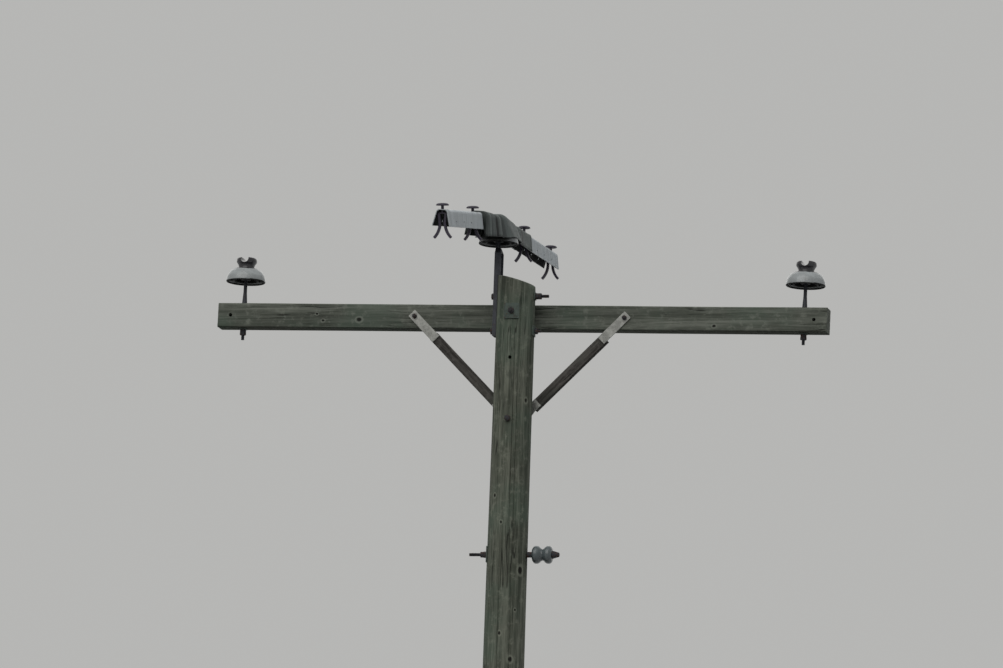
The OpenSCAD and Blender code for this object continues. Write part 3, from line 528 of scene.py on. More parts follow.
def place(bm, name, finishes, slot, nodes, angle=35.0):
    """Turns a bmesh into a piece with its finishes, and hides the nodes that it stands for. The slot is not
    used.
    """
    mesh = bpy.data.meshes.new(name)
    bm.normal_update()
    bm.to_mesh(mesh)
    bm.free()
    for face in mesh.polygons:
        face.use_smooth = True
    mesh.set_sharp_from_angle(angle=math.radians(angle))
    piece = bpy.data.objects.new(name, mesh)
    bpy.context.scene.collection.objects.link(piece)
    for finish in finishes:
        piece.data.materials.append(material(finish))
    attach(piece, "root")
    if nodes:
        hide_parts(*nodes)
    return piece


def apply_modifiers(piece):
    """Bakes a piece's modifiers into its mesh."""
    graph = bpy.context.evaluated_depsgraph_get()
    baked = bpy.data.meshes.new_from_object(piece.evaluated_get(graph))
    old = piece.data
    piece.modifiers.clear()
    piece.data = baked
    bpy.data.meshes.remove(old)
    return piece


def cut_away(piece, cutter_bm, angle=35.0):
    """Takes a cutter's shape out of a piece."""
    mesh = bpy.data.meshes.new("cutter")
    bmesh.ops.recalc_face_normals(cutter_bm, faces=cutter_bm.faces)
    cutter_bm.to_mesh(mesh)
    cutter_bm.free()
    cutter = bpy.data.objects.new("cutter", mesh)
    bpy.context.scene.collection.objects.link(cutter)
    cut = piece.modifiers.new("cut", "BOOLEAN")
    cut.operation = "DIFFERENCE"
    cut.solver = "EXACT"
    cut.object = cutter
    bpy.context.view_layer.update()
    apply_modifiers(piece)
    bpy.data.objects.remove(cutter)
    bpy.data.meshes.remove(mesh)
    piece.data.set_sharp_from_angle(angle=math.radians(angle))
    return piece


def soften(piece, width, segments=2, angle=35.0):
    """Rounds a piece's edges with a bevel and bakes it."""
    edge = piece.modifiers.new("edge", "BEVEL")
    edge.width = width
    edge.segments = segments
    edge.limit_method = "ANGLE"
    edge.angle_limit = math.radians(angle)
    edge.harden_normals = False
    bpy.context.view_layer.update()
    apply_modifiers(piece)
    return piece


def frame_at(origin, direction):
    """Matrix that puts local Z along a direction at a point."""
    return Matrix.Translation(origin) @ Vector(direction).to_track_quat("Z", "Y").to_matrix().to_4x4()


def add_cylinder(bm, matrix, radius, low, high, sides=48, radius_high=None):
    """A closed cylinder or cone from low to high on the matrix's Z axis."""
    top = radius if radius_high is None else radius_high
    middle = matrix @ Matrix.Translation((0, 0, (low + high) / 2))
    return bmesh.ops.create_cone(
        bm,
        cap_ends=True,
        cap_tris=False,
        segments=sides,
        radius1=radius,
        radius2=top,
        depth=high - low,
        matrix=middle,
    )["verts"]


def add_box(bm, low, high, matrix=None):
    """A box between two corners, in the matrix's frame."""
    low, high = Vector(low), Vector(high)
    spread = Matrix.Diagonal((*(high - low), 1))
    local = Matrix.Translation((low + high) / 2) @ spread
    return bmesh.ops.create_cube(bm, size=1.0, matrix=(matrix or Matrix.Identity(4)) @ local)["verts"]


def slice_at(bm, point, normal, geom=None, **options):
    """Cuts a mesh, or the given part of it, along a plane."""
    geom = geom or bm.verts[:] + bm.edges[:] + bm.faces[:]
    return bmesh.ops.bisect_plane(bm, geom=geom, dist=TOUCH, plane_co=point, plane_no=normal, **options)


def slice_evenly(bm, axis, low, span, parts):
    """Cuts a mesh into equal parts along an axis."""
    for step in range(1, parts):
        slice_at(bm, Vector(axis) * (low + span * step / parts), axis)


def whole(verts):
    """Points together with their edges and faces."""
    edges = {edge for vert in verts for edge in vert.link_edges}
    faces = {face for vert in verts for face in vert.link_faces}
    return list(verts) + list(edges) + list(faces)


def round_off(bm, edges, width, segments):
    """Rounds edges of a mesh, and returns the points of the rounding."""
    return bmesh.ops.bevel(
        bm,
        geom=edges,
        offset=width,
        offset_type="OFFSET",
        segments=segments,
        profile=0.5,
        affect="EDGES",
        material=-1,
    )["verts"]


def reach_of(edge, axis):
    """How far an edge reaches along an axis."""
    return abs(edge.verts[0].co[axis] - edge.verts[1].co[axis])


def add_turned(bm, matrix, profile, sides=64, closed=True):
    """A turned solid: a profile of (radius, height) points spun once about the matrix's Z axis."""
    verts = [bm.verts.new(matrix @ Vector((max(radius, 0.0), 0, height))) for radius, height in profile]
    edges = [bm.edges.new(pair) for pair in zip(verts, verts[1:])]
    if closed:
        edges.append(bm.edges.new((verts[-1], verts[0])))
    before = set(bm.faces)
    bmesh.ops.spin(
        bm,
        geom=verts + edges,
        cent=matrix.translation,
        axis=matrix.to_3x3() @ Vector((0, 0, 1)),
        angle=math.tau,
        steps=sides,
        use_merge=True,
        use_duplicate=False,
    )
    made = [face for face in bm.faces if face not in before]
    points = list({vert for face in made for vert in face.verts})
    bmesh.ops.remove_doubles(bm, verts=points, dist=TOUCH)
    made = [face for face in made if face.is_valid]
    bmesh.ops.recalc_face_normals(bm, faces=made)
    return made


def sweep(bm, rings, loop=False):
    """Joins rows of points into one surface by extruding the first row from each place to the next."""
    row = [bm.verts.new(point) for point in rings[0]]
    pairs = list(zip(row, row[1:])) + ([(row[-1], row[0])] if loop else [])
    edges = [bm.edges.new(pair) for pair in pairs]
    made = []
    for ring in rings[1:]:
        grown = bmesh.ops.extrude_edge_only(bm, edges=edges)["geom"]
        fresh = {item for item in grown if isinstance(item, bmesh.types.BMVert)}
        edges = [item for item in grown if isinstance(item, bmesh.types.BMEdge) and set(item.verts) <= fresh]
        made += [item for item in grown if isinstance(item, bmesh.types.BMFace)]
        row = [
            next(edge.other_vert(vert) for edge in vert.link_edges if edge.other_vert(vert) in fresh)
            for vert in row
        ]
        for vert, point in zip(row, ring):
            vert.co = point
    return made


def solid_through(rings):
    """A closed solid that is swept through rows of points."""
    bm = bmesh.new()
    sweep(bm, rings, loop=True)
    bmesh.ops.holes_fill(bm, edges=bm.edges[:], sides=0)
    return bm


def clamp(value):
    """A value kept between 0 and 1."""
    return min(1.0, max(0.0, value))


def arc(centre, radius, start, end, steps):
    """Points on an arc, in degrees, for a profile."""
    angles = [math.radians(start + (end - start) * step / steps) for step in range(steps + 1)]
    return [(centre[0] + radius * math.cos(angle), centre[1] + radius * math.sin(angle)) for angle in angles]


def smooth_profile(points, steps=4):
    """A soft curve through a profile's points, with steps between each two."""
    ends = [points[0]] + list(points) + [points[-1]]
    curve = []
    for p0, p1, p2, p3 in zip(ends, ends[1:], ends[2:], ends[3:]):
        for step in range(steps):
            curve.append(tuple(curve_value(*four, step / steps) for four in zip(p0, p1, p2, p3)))
    return curve + [points[-1]]


def curve_value(a, b, c, d, t):
    """Value between b and c, at a share t, of the curve through four values."""
    slope = (c - a) * t
    bend = (2 * a - 5 * b + 4 * c - d) * t * t
    twist = (3 * b - a - 3 * c + d) * t**3
    return 0.5 * (2 * b + slope + bend + twist)


def add_nut(bm, matrix, flats, height):
    """Hexagonal nut or head on the matrix's Z axis, with its corners chamfered at the outer end."""
    verts = add_cylinder(bm, matrix, flats / math.sqrt(3), 0, height, 6)
    corner = flats * 0.5
    inverse = matrix.inverted()
    edges = {edge for vert in verts for edge in vert.link_edges}
    upright = [
        edge
        for edge in edges
        if abs((inverse @ edge.verts[0].co).z - (inverse @ edge.verts[1].co).z) > height / 2
    ]
    round_off(bm, upright, corner * 0.03, 2)

    def at_rim(vert):
        point = inverse @ vert.co
        return abs(point.z - height) < 1e-5 and point.xy.length < flats * 0.6

    rim = [edge for edge in bm.edges if all(map(at_rim, edge.verts)) and len(edge.link_faces) == 2]
    round_off(bm, rim, corner * 0.11, 2)


def add_rod(bm, matrix, radius, low, high, thread_from=None, sides=32):
    """Bolt shank from low to high, threaded from a height to its chamfered end."""
    hardware = settings("pole_hardware")
    chamfer = 0.0015
    profile = [(0.0, low), (radius, low)]
    if thread_from is not None:
        height = thread_from
        while height + hardware.thread_pitch < high - chamfer:
            profile += [
                (radius, height),
                (radius - hardware.thread_depth, height + hardware.thread_pitch * 0.5),
            ]
            height += hardware.thread_pitch
        profile.append((radius, height))
    profile += [(radius, high - chamfer), (radius - chamfer, high), (0.0, high)]
    add_turned(bm, matrix, profile, sides, closed=False)


# Operators: finishes and wooden pieces


class MakeFinishes(bpy.types.Operator):
    """Makes the procedural finishes of every piece"""

    bl_idname = "utility_pole.make_finishes"
    bl_label = "Finishes"

    def execute(self, context):
        c = settings("pole_finishes")
        knot = (1.0, 1.0, 0.75)
        pole_knots = [
            ((math.sin(math.radians(a)) * r, -math.cos(math.radians(a)) * r, z), size, knot)
            for a, r, z, size in (
                (55.5, 0.0965, 8.214, 0.008),
                (-33.7, 0.0975, 7.744, 0.007),
                (-8.6, 0.0985, 7.612, 0.006),
                (54.5, 0.0990, 7.381, 0.013),
                (-2.3, 0.1005, 7.070, 0.007),
                (30.8, 0.1010, 6.944, 0.010),
                (40.9, 0.1000, 7.186, 0.005),
                (140, 0.096, 7.9, 0.014),
                (200, 0.100, 7.2, 0.017),
                (95, 0.110, 5.6, 0.016),
                (-60, 0.108, 5.1, 0.018),
                (10, 0.114, 4.2, 0.020),
                (-130, 0.117, 3.4, 0.017),
                (50, 0.121, 2.1, 0.021),
                (-15, 0.124, 1.2, 0.018),
            )
        ]
        arm_knots = [
            ((x, y, z), size, (0.8, 1.0, 1.0))
            for x, y, z, size in (
                (-0.806, 0.0825, 8.642, 0.010),
                (0.969, 0.0825, 8.600, 0.007),
                (-1.020, 0.0825, 8.672, 0.005),
                (-0.988, 0.0825, 8.639, 0.006),
                (-0.36, 0.1775, 8.660, 0.012),
                (1.12, 0.1775, 8.622, 0.010),
            )
        ]
        for name, dark, light, stretch, lean, knots, growth_share in (
            ("pole_wood", c.pole_dark, c.pole_light, (1, 1, 0.045), 0, pole_knots, 0.42),
            ("arm_wood", c.arm_dark, c.arm_light, (0.04, 1, 1), 0, arm_knots, 0.36),
            ("brace_left_wood", c.brace_dark, c.brace_light, (1, 1, 0.06), 44.8, (), 0.2),
            ("brace_right_wood", c.brace_dark, c.brace_light, (1, 1, 0.06), -44.8, (), 0.2),
        ):
            wood(name, dark, light, c.lichen, stretch, (0, math.radians(lean), 0), knots, growth_share)
        for name, base, rusty, gloss in (
            ("strap_steel", c.zinc, 0.18, 0.55),
            ("plate_steel", c.old_zinc, 0.40, 0.62),
            ("bolt_steel", shade(c.dark_steel, 0.7), 0.60, 0.62),
            ("pin_steel", c.dark_steel, 0.30, 0.50),
            ("bracket_steel", shade(c.dark_steel, 1.3), 0.28, 0.55),
        ):
            steel(name, base, c.rust, rusty, gloss)
        # Spot of painted shade on the middle bell, below the near side of the hood that shades it.
        hood_shade_point = (MIDDLE.x + 0.015, -0.095, MIDDLE_RIM.z + 0.03)
        glaze("bell_glaze", c.bell, c.dirt)
        glaze("bell_painted_shade_glaze", c.bell, c.dirt, 0.3, (hood_shade_point, 0.055))
        # Near-black glaze that paints the shade inside and below the bells.
        glaze("inside_painted_shade_glaze", c.inner, c.dirt, 0.6, coat=0.0, shine=0.1)
        glaze("head_glaze", c.head, c.dirt, 0.24)
        glaze("spool_glaze", c.spool, c.dirt)
        plastic("arm_plastic", c.cover, c.dirt, 0.32)
        # The hood's finish carries bands of painted shade and painted highlight.
        plastic("hood_plastic", c.hood, c.dirt, 0.5, 0.55, hood_painted_light_bands())
        # Near-black plastic that paints the shade inside the cover.
        plastic("inside_painted_shade_plastic", c.cover_shaded_inside, c.dirt, 0.5, 0.8, shine=0.1)
        plastic("pin_plastic", c.cover_pin, c.dirt, 0.2, 0.42)
        return {"FINISHED"}


def hood_painted_light_bands():
    """Bands of painted shade and painted highlight across the hood's folds and ribs, darker for a tone below
    1 and paler above: place along the line, half width, share and tone of the change.
    """
    c = settings("cover_sizes")
    ribs = c.dome_half + NEAR_FORM["ribs"]
    valley = c.dome_half + (NEAR_FORM["valley"] + NEAR_FORM["valley_end"]) / 2
    bands = [
        (-c.near_bellows - 0.020, 0.040, 0.75, 0.35),
        (-valley, 0.016, 0.95, 0.12),
        (-c.dome_half + 0.020, 0.007, 0.7, 0.35),
        (-c.dome_half - 0.012, 0.008, 0.5, 1.5),
        (-ribs - 3.4 * c.near_rib_pitch, 0.007, 0.7, 2.0),
        (-ribs - 2.6 * c.near_rib_pitch, 0.006, 0.6, 0.4),
        (-ribs - 0.5 * c.near_rib_pitch, 0.005, 0.5, 0.5),
    ]
    bands += [(c.dome_half + index * c.far_rib_pitch, 0.003, 0.5, 0.4) for index in (1, 2)]
    return bands + [(c.far_bellows + 0.015, 0.020, 0.9, 0.25)]


def check_groove(angle, height, seed):
    """Depth share of the drying checks at a place on the pole: long thin openings that come and go."""
    depth = 0.0
    for index, (centre, low, high, width) in enumerate(POLE_CHECKS):
        wander = 0.035 * noise.noise(Vector((height * 0.7, seed + index * 3.1, 0)))
        away = abs((angle - centre - wander + math.pi) % math.tau - math.pi)
        if away < width and low < height < high:
            ends = min(1.0, (height - low) / 0.25, (high - height) / 0.25)
            depth = max(depth, (1 - away / width) * ends)
    return depth


# Drying checks of the pole: angle in degrees, lower end, upper end and half width in radians
POLE_CHECKS = [
    (math.radians(angle), *rest)
    for angle, *rest in (
        (-98, 6.6, 7.95, 0.045),
        (-62, 6.2, 8.9, 0.040),
        (-118, 2.2, 5.4, 0.040),
        (-75, 7.55, 8.60, 0.038),
        (-84, 0.4, 4.9, 0.040),
        (-45, 4.6, 6.5, 0.040),
        (8, 0.3, 6.8, 0.042),
        (52, 5.1, 8.75, 0.040),
        (131, 1.4, 7.7, 0.042),
        (170, 3.2, 8.8, 0.040),
        (-160, 0.2, 5.7, 0.040),
    )
]


# Unevenness of the round wood, and the height above which a face belongs to the roof cut
POLE_INSET = 0.0011
POLE_SWELL = 0.0009
POLE_RIDGES = 0.0007
ROOF_ABOVE = 8.7

# Faces round a bolt hole, and cuts along and across the arm and the braces
HOLE_SIDES = 32
ARM_SLICES, ARM_STRIPS = 300, 14
BRACE_SLICES, BRACE_STRIPS = 70, 8

# Length and depth of the splits at the arm's ends
SPLIT_REACH, SPLIT_DEPTH = 0.25, 0.004


class BuildPole(bpy.types.Operator):
    """Builds the round wooden pole with its roof cut, gain, bolt holes and drying checks"""

    bl_idname = "utility_pole.build_pole"
    bl_label = "Pole"

    def execute(self, context):
        s = settings("pole_sizes")
        bm = bmesh.new()
        add_cylinder(bm, Matrix.Identity(4), POLE_FOOT_RADIUS, 0, POLE_HEIGHT, s.sides, s.top_radius)
        upright = [edge for edge in bm.edges if reach_of(edge, 2) > 1.0]
        bmesh.ops.subdivide_edges(bm, edges=upright, cuts=s.rings, use_grid_fill=True)
        for height in (s.gain_bottom, s.gain_bottom + 0.002):
            slice_at(bm, (0, 0, height), (0, 0, 1))
        for vert in bm.verts:
            point = vert.co
            radius = point.xy.length
            if radius < 0.01:
                continue
            angle = math.atan2(point.y, point.x)
            groove = check_groove(angle, point.z, 4.0)
            swell = noise.noise(Vector((math.cos(angle) * 1.6, math.sin(angle) * 1.6, point.z * 1.3)))
            ridges = noise.noise(Vector((math.cos(angle) * 16, math.sin(angle) * 16, point.z * 1.1)))
            change = -POLE_INSET + POLE_SWELL * swell + POLE_RIDGES * ridges - s.check_depth * groove
            vert.co.x *= 1 + change / radius
            vert.co.y *= 1 + change / radius
            if point.z > s.gain_bottom + 0.001:
                vert.co.y = min(vert.co.y, s.gain_y - 0.0001 + 0.0001 * swell)
        lean = Vector((math.sin(s.roof_slope), 0, math.cos(s.roof_slope)))
        cut = slice_at(bm, (-s.top_radius, 0, POLE_HEIGHT), lean, clear_outer=True)
        rim = [item for item in cut["geom_cut"] if isinstance(item, bmesh.types.BMEdge)]
        bmesh.ops.holes_fill(bm, edges=rim, sides=0)
        roof = [
            face
            for face in bm.faces
            if face.normal.dot(lean) > 0.99 and face.calc_center_median().z > ROOF_ABOVE
        ]
        bmesh.ops.inset_region(bm, faces=roof, thickness=0.004, depth=0.0)
        for edge in rim:
            for vert in edge.verts:
                vert.co -= lean * 0.0012
                vert.co.x *= 0.997
        piece = place(bm, "pole_wood_shaft", ["pole_wood"], "pole_wood", ["pole_shaft"], 40.0)
        holes = bmesh.new()
        for height in (s.arm_bolt_z, s.brace_bolt_z, s.spare_hole_z):
            add_cylinder(holes, frame_at((0, 0, height), (0, 1, 0)), s.hole_radius, -0.2, 0.2, HOLE_SIDES)
        for height in (s.upper_bolt_z, s.neutral_bolt_z):
            add_cylinder(holes, frame_at((0, 0, height), (1, 0, 0)), s.hole_radius, -0.2, 0.2, HOLE_SIDES)
        cut_away(piece, holes, 40.0)
        return {"FINISHED"}


def on_arm(point=(0, 0, 0)):
    """Matrix of the arm's frame, whose origin is the arm bolt, moved to a point."""
    bolt = Matrix.Translation((0, 0, settings("pole_sizes").arm_bolt_z))
    return bolt @ Matrix.Rotation(ARM_TILT, 4, "Y") @ Matrix.Translation(point)


class BuildArm(bpy.types.Operator):
    """Builds the crossarm with worn edges, end checks and its holes"""

    bl_idname = "utility_pole.build_arm"
    bl_label = "Crossarm"

    def execute(self, context):
        s, pole = settings("arm_sizes"), settings("pole_sizes")
        half, top = s.length / 2, s.height / 2
        bm = bmesh.new()
        add_box(bm, (-half, pole.gain_y, -top), (half, pole.gain_y + s.depth, top))
        round_off(bm, [edge for edge in bm.edges if reach_of(edge, 0) > 1], s.chamfer, 3)
        slice_evenly(bm, (1, 0, 0), -half, s.length, ARM_SLICES)
        slice_evenly(bm, (0, 0, 1), -top, s.height, ARM_STRIPS)
        slice_evenly(bm, (0, 1, 0), pole.gain_y, s.depth, ARM_STRIPS)
        middle = Vector((0, pole.gain_y + s.depth / 2, 0))
        for vert in bm.verts:
            point = vert.co
            inward = Vector((0, middle.y - point.y, -point.z)).normalized()
            fibre = noise.noise(Vector((point.x * 1.4, point.y * 70, point.z * 70)))
            wave = noise.noise(Vector((point.x * 2.5, point.y * 9, point.z * 9 + 5)))
            dip = 0.0006 + 0.0005 * fibre + 0.0006 * wave
            if point.y < pole.gain_y + 0.001 and abs(point.x) < 0.15:
                dip = 0.0002
            end = half - abs(point.x)
            if end < SPLIT_REACH:
                split = noise.noise(Vector((math.copysign(3, point.x), point.y * 55, point.z * 55)))
                if split > 0.25:
                    dip += SPLIT_DEPTH * (split - 0.25) * (1 - end / SPLIT_REACH)
            vert.co += inward * max(dip, 0.0)
        for vert in bm.verts:
            if half - abs(vert.co.x) < 1e-4:
                rough = noise.noise(vert.co * 60)
                vert.co.x -= math.copysign(0.0006 + 0.0005 * rough, vert.co.x)
        bmesh.ops.transform(bm, matrix=on_arm(), verts=bm.verts[:])
        piece = place(bm, "arm_timber", ["arm_wood"], "arm_wood", ["crossarm"], 30.0)
        holes = bmesh.new()
        for x in (0.0, -half + s.hole_inset, half - s.hole_inset):
            at = on_arm((x, middle.y, 0)) @ Matrix.Rotation(-math.pi / 2, 4, "X")
            add_cylinder(holes, at, pole.hole_radius, -0.1, 0.1, HOLE_SIDES)
        cut_away(piece, holes, 30.0)
        return {"FINISHED"}


def brace_frame(side):
    """Frame of a brace: origin at the pole bolt on the gain's face, Z along the brace to the arm."""
    s, pole = settings("arm_sizes"), settings("pole_sizes")
    top = on_arm((side * s.brace_reach, pole.gain_y, 0)).translation
    foot = Vector((0, pole.gain_y, pole.brace_bolt_z))
    way = top - foot
    lean = math.atan2(way.x, way.z)
    return Matrix.Translation(foot) @ Matrix.Rotation(lean, 4, "Y"), way.length


class BuildBraces(bpy.types.Operator):
    """Builds the two wooden braces, cut square below the arm, with worn edges"""

    bl_idname = "utility_pole.build_braces"
    bl_label = "Braces"

    def execute(self, context):
        s = settings("arm_sizes")
        for side, word in ((-1, "left"), (1, "right")):
            matrix, length = brace_frame(side)
            low, high = s.brace_start, length - s.brace_end
            bm = bmesh.new()
            add_box(bm, (-s.brace_width / 2, 0, low), (s.brace_width / 2, s.brace_depth, high))
            round_off(bm, [edge for edge in bm.edges if reach_of(edge, 2) > 0.1], 0.003, 2)
            slice_evenly(bm, (0, 0, 1), low, high - low, BRACE_SLICES)
            slice_evenly(bm, (1, 0, 0), -s.brace_width / 2, s.brace_width, BRACE_STRIPS)
            bmesh.ops.transform(bm, matrix=matrix, verts=bm.verts[:])
            inverse = matrix.inverted()
            centre = Vector((0, s.brace_depth / 2, 0))
            for vert in bm.verts:
                local = inverse @ vert.co
                fibre = noise.noise(Vector((local.x * 90, local.y * 90, local.z * 2.2 + side * 9)))
                inward = Vector((-local.x, centre.y - local.y, 0)).normalized()
                vert.co += matrix.to_3x3() @ (inward * max(0.0, 0.0006 + 0.0006 * fibre))
            place(bm, f"brace_{word}_timber", [f"brace_{word}_wood"], "brace_wood", [f"brace_{word}"], 30.0)
        return {"FINISHED"}


# Bolts, nuts, washers, straps, pins and the bracket


PLATE_CORNER = 0.004
PLATE_EDGE = 0.0008
PLATE_STRIPS = 16
OVERLAP = 0.001
NUT_TURN = 0.4


def wood_radius(z):
    """Radius of the pole's round side at a height."""
    top = settings("pole_sizes").top_radius
    return POLE_FOOT_RADIUS + (top - POLE_FOOT_RADIUS) * z / POLE_HEIGHT


def nut_seat(z):
    """Distance from the pole's axis to a nut that sits on a curved washer at a height."""
    h = settings("pole_hardware")
    return wood_radius(z - h.nut_flats / math.sqrt(3)) + h.washer


def along(node, way):
    """Start and length of a CAD node in a direction, as a matrix whose Z is the direction."""
    low, high, middle = node_box(node)
    way = Vector(way)
    reach = abs((high - low).dot(way))
    return frame_at(middle - way * reach / 2, way), reach


def add_plate(bm, matrix, side, thickness):
    """Square plate with rounded corners, seated at z = 0 of the matrix."""
    half = side / 2
    verts = add_box(bm, (-half, -half, 0), (half, half, thickness), matrix)
    up = matrix.to_3x3() @ Vector((0, 0, 1))
    edges = {edge for vert in verts for edge in vert.link_edges}
    corners = [edge for edge in edges if abs((edge.verts[0].co - edge.verts[1].co).dot(up)) > thickness / 2]
    round_off(bm, corners, PLATE_CORNER, 4)


def add_curved_plate(bm, z, turn, side):
    """Square washer that is bent round the pole at a height, on the side that the turn gives."""
    thickness = settings("pole_hardware").washer
    verts = add_box(bm, (0, -side / 2, -side / 2), (thickness, side / 2, side / 2))
    edges = {edge for vert in verts for edge in vert.link_edges}
    corners = [edge for edge in edges if reach_of(edge, 0) > thickness / 2]
    bent = {vert for vert in set(verts) | set(round_off(bm, corners, PLATE_CORNER, 4)) if vert.is_valid}
    plate = {vert for start in bent for edge in start.link_edges for vert in edge.verts}
    for step in range(1, PLATE_STRIPS):
        cut = slice_at(bm, (0, side * (step / PLATE_STRIPS - 0.5), 0), (0, 1, 0), whole(plate))
        found = cut["geom"] + cut["geom_cut"]
        plate = {item for item in found if isinstance(item, bmesh.types.BMVert)}
    spin = Matrix.Rotation(turn, 4, "Z")
    for vert in plate:
        radius = wood_radius(z + vert.co.z) + vert.co.x
        across = vert.co.y
        vert.co = spin @ Vector((math.sqrt(radius * radius - across * across), across, z + vert.co.z))


def stack_nuts(bm, matrix, count):
    """Nuts one on another, each turned a little from the last."""
    h = settings("pole_hardware")
    for index in range(count):
        seat = matrix @ Matrix.Translation((0, 0, index * h.nut_height))
        add_nut(bm, seat @ Matrix.Rotation(NUT_TURN * index, 4, "Z"), h.nut_flats, h.nut_height)


def stand_for(bm, node, ending, finish="bolt_steel"):
    """Places a steel piece that stands for one node."""
    return place(bm, f"{node}_{ending}", [finish], finish, [node])


def finish_steel(bm, node, ending, finish, width=None):
    """Places a steel piece that stands for one node, and rounds its edges."""
    piece = stand_for(bm, node, ending, finish)
    return soften(piece, width or settings("pole_hardware").edge, 2, 40.0)


class BuildBolts(bpy.types.Operator):
    """Builds the through bolts with their threads, and the nuts on them"""

    bl_idname = "utility_pole.build_bolts"
    bl_label = "Bolts and nuts"

    def execute(self, context):
        s, h = settings("pole_sizes"), settings("pole_hardware")
        for node, way in (
            ("arm_bolt", (0, -1, 0)),
            ("brace_pole_bolt", (0, 1, 0)),
            ("bracket_bolt_upper", (1, 0, 0)),
            ("bracket_bolt_lower", (1, 0, 0)),
        ):
            matrix, reach = along(node, way)
            bm = bmesh.new()
            seat = matrix @ Matrix.Translation((0, 0, h.nut_height))
            add_nut(bm, seat @ Matrix.Rotation(math.pi, 4, "X"), h.nut_flats, h.nut_height)
            length = reach - h.nut_height
            add_rod(bm, seat, h.bolt_radius, -OVERLAP, length, length - h.thread_length)
            stand_for(bm, node, "threaded")
        for node, way in (
            ("arm_front_nut", (0, -1, 0)),
            ("brace_pole_nut", (0, 1, 0)),
            ("neutral_nuts", (-1, 0, 0)),
        ):
            matrix, reach = along(node, way)
            bm = bmesh.new()
            stack_nuts(bm, matrix, round(reach / h.nut_height))
            stand_for(bm, node, "chamfered")
        bm = bmesh.new()
        for height, nuts in ((s.upper_bolt_z, 2), (s.lower_bolt_z, 1)):
            stack_nuts(bm, frame_at((nut_seat(height), 0, height), (1, 0, 0)), nuts)
        stand_for(bm, "bracket_nuts", "chamfered")
        return {"FINISHED"}


class BuildWashers(bpy.types.Operator):
    """Builds the flat and curved square washers"""

    bl_idname = "utility_pole.build_washers"
    bl_label = "Washers"

    def execute(self, context):
        s, h = settings("pole_sizes"), settings("pole_hardware")
        curved = (
            ("arm_front_washer", ((s.arm_bolt_z, -math.pi / 2, h.washer_side),)),
            ("neutral_washer", ((s.neutral_bolt_z, math.pi, h.washer_side),)),
            (
                "bracket_washers",
                ((s.upper_bolt_z, 0, h.upper_washer_side), (s.lower_bolt_z, 0, h.small_washer_side)),
            ),
        )
        for node, places in curved:
            bm = bmesh.new()
            for height, turn, side in places:
                add_curved_plate(bm, height, turn, side)
            finish_steel(bm, node, "curved", "plate_steel", PLATE_EDGE)
        for node, side in (("arm_back_washer", h.washer_side), ("brace_pole_washer", h.small_washer_side)):
            matrix, thickness = along(node, (0, 1, 0))
            bm = bmesh.new()
            add_plate(bm, matrix, side, thickness)
            finish_steel(bm, node, "rounded", "plate_steel", PLATE_EDGE)
        arm = settings("arm_sizes")
        bm = bmesh.new()
        for side in (-1, 1):
            under = on_arm((side * arm_pin_x(), arm_middle_y(), -arm.height / 2))
            seat = under @ Matrix.Rotation(math.pi, 4, "X")
            add_plate(bm, seat, h.pin_washer_side, h.washer)
        finish_steel(bm, "arm_pin_washers", "rounded", "plate_steel", PLATE_EDGE)
        return {"FINISHED"}


def arm_pin_x():
    """Distance of the insulator pins from the arm's middle."""
    arm = settings("arm_sizes")
    return arm.length / 2 - arm.pin_inset


def arm_middle_y():
    """Middle of the arm's depth."""
    return settings("pole_sizes").gain_y + settings("arm_sizes").depth / 2


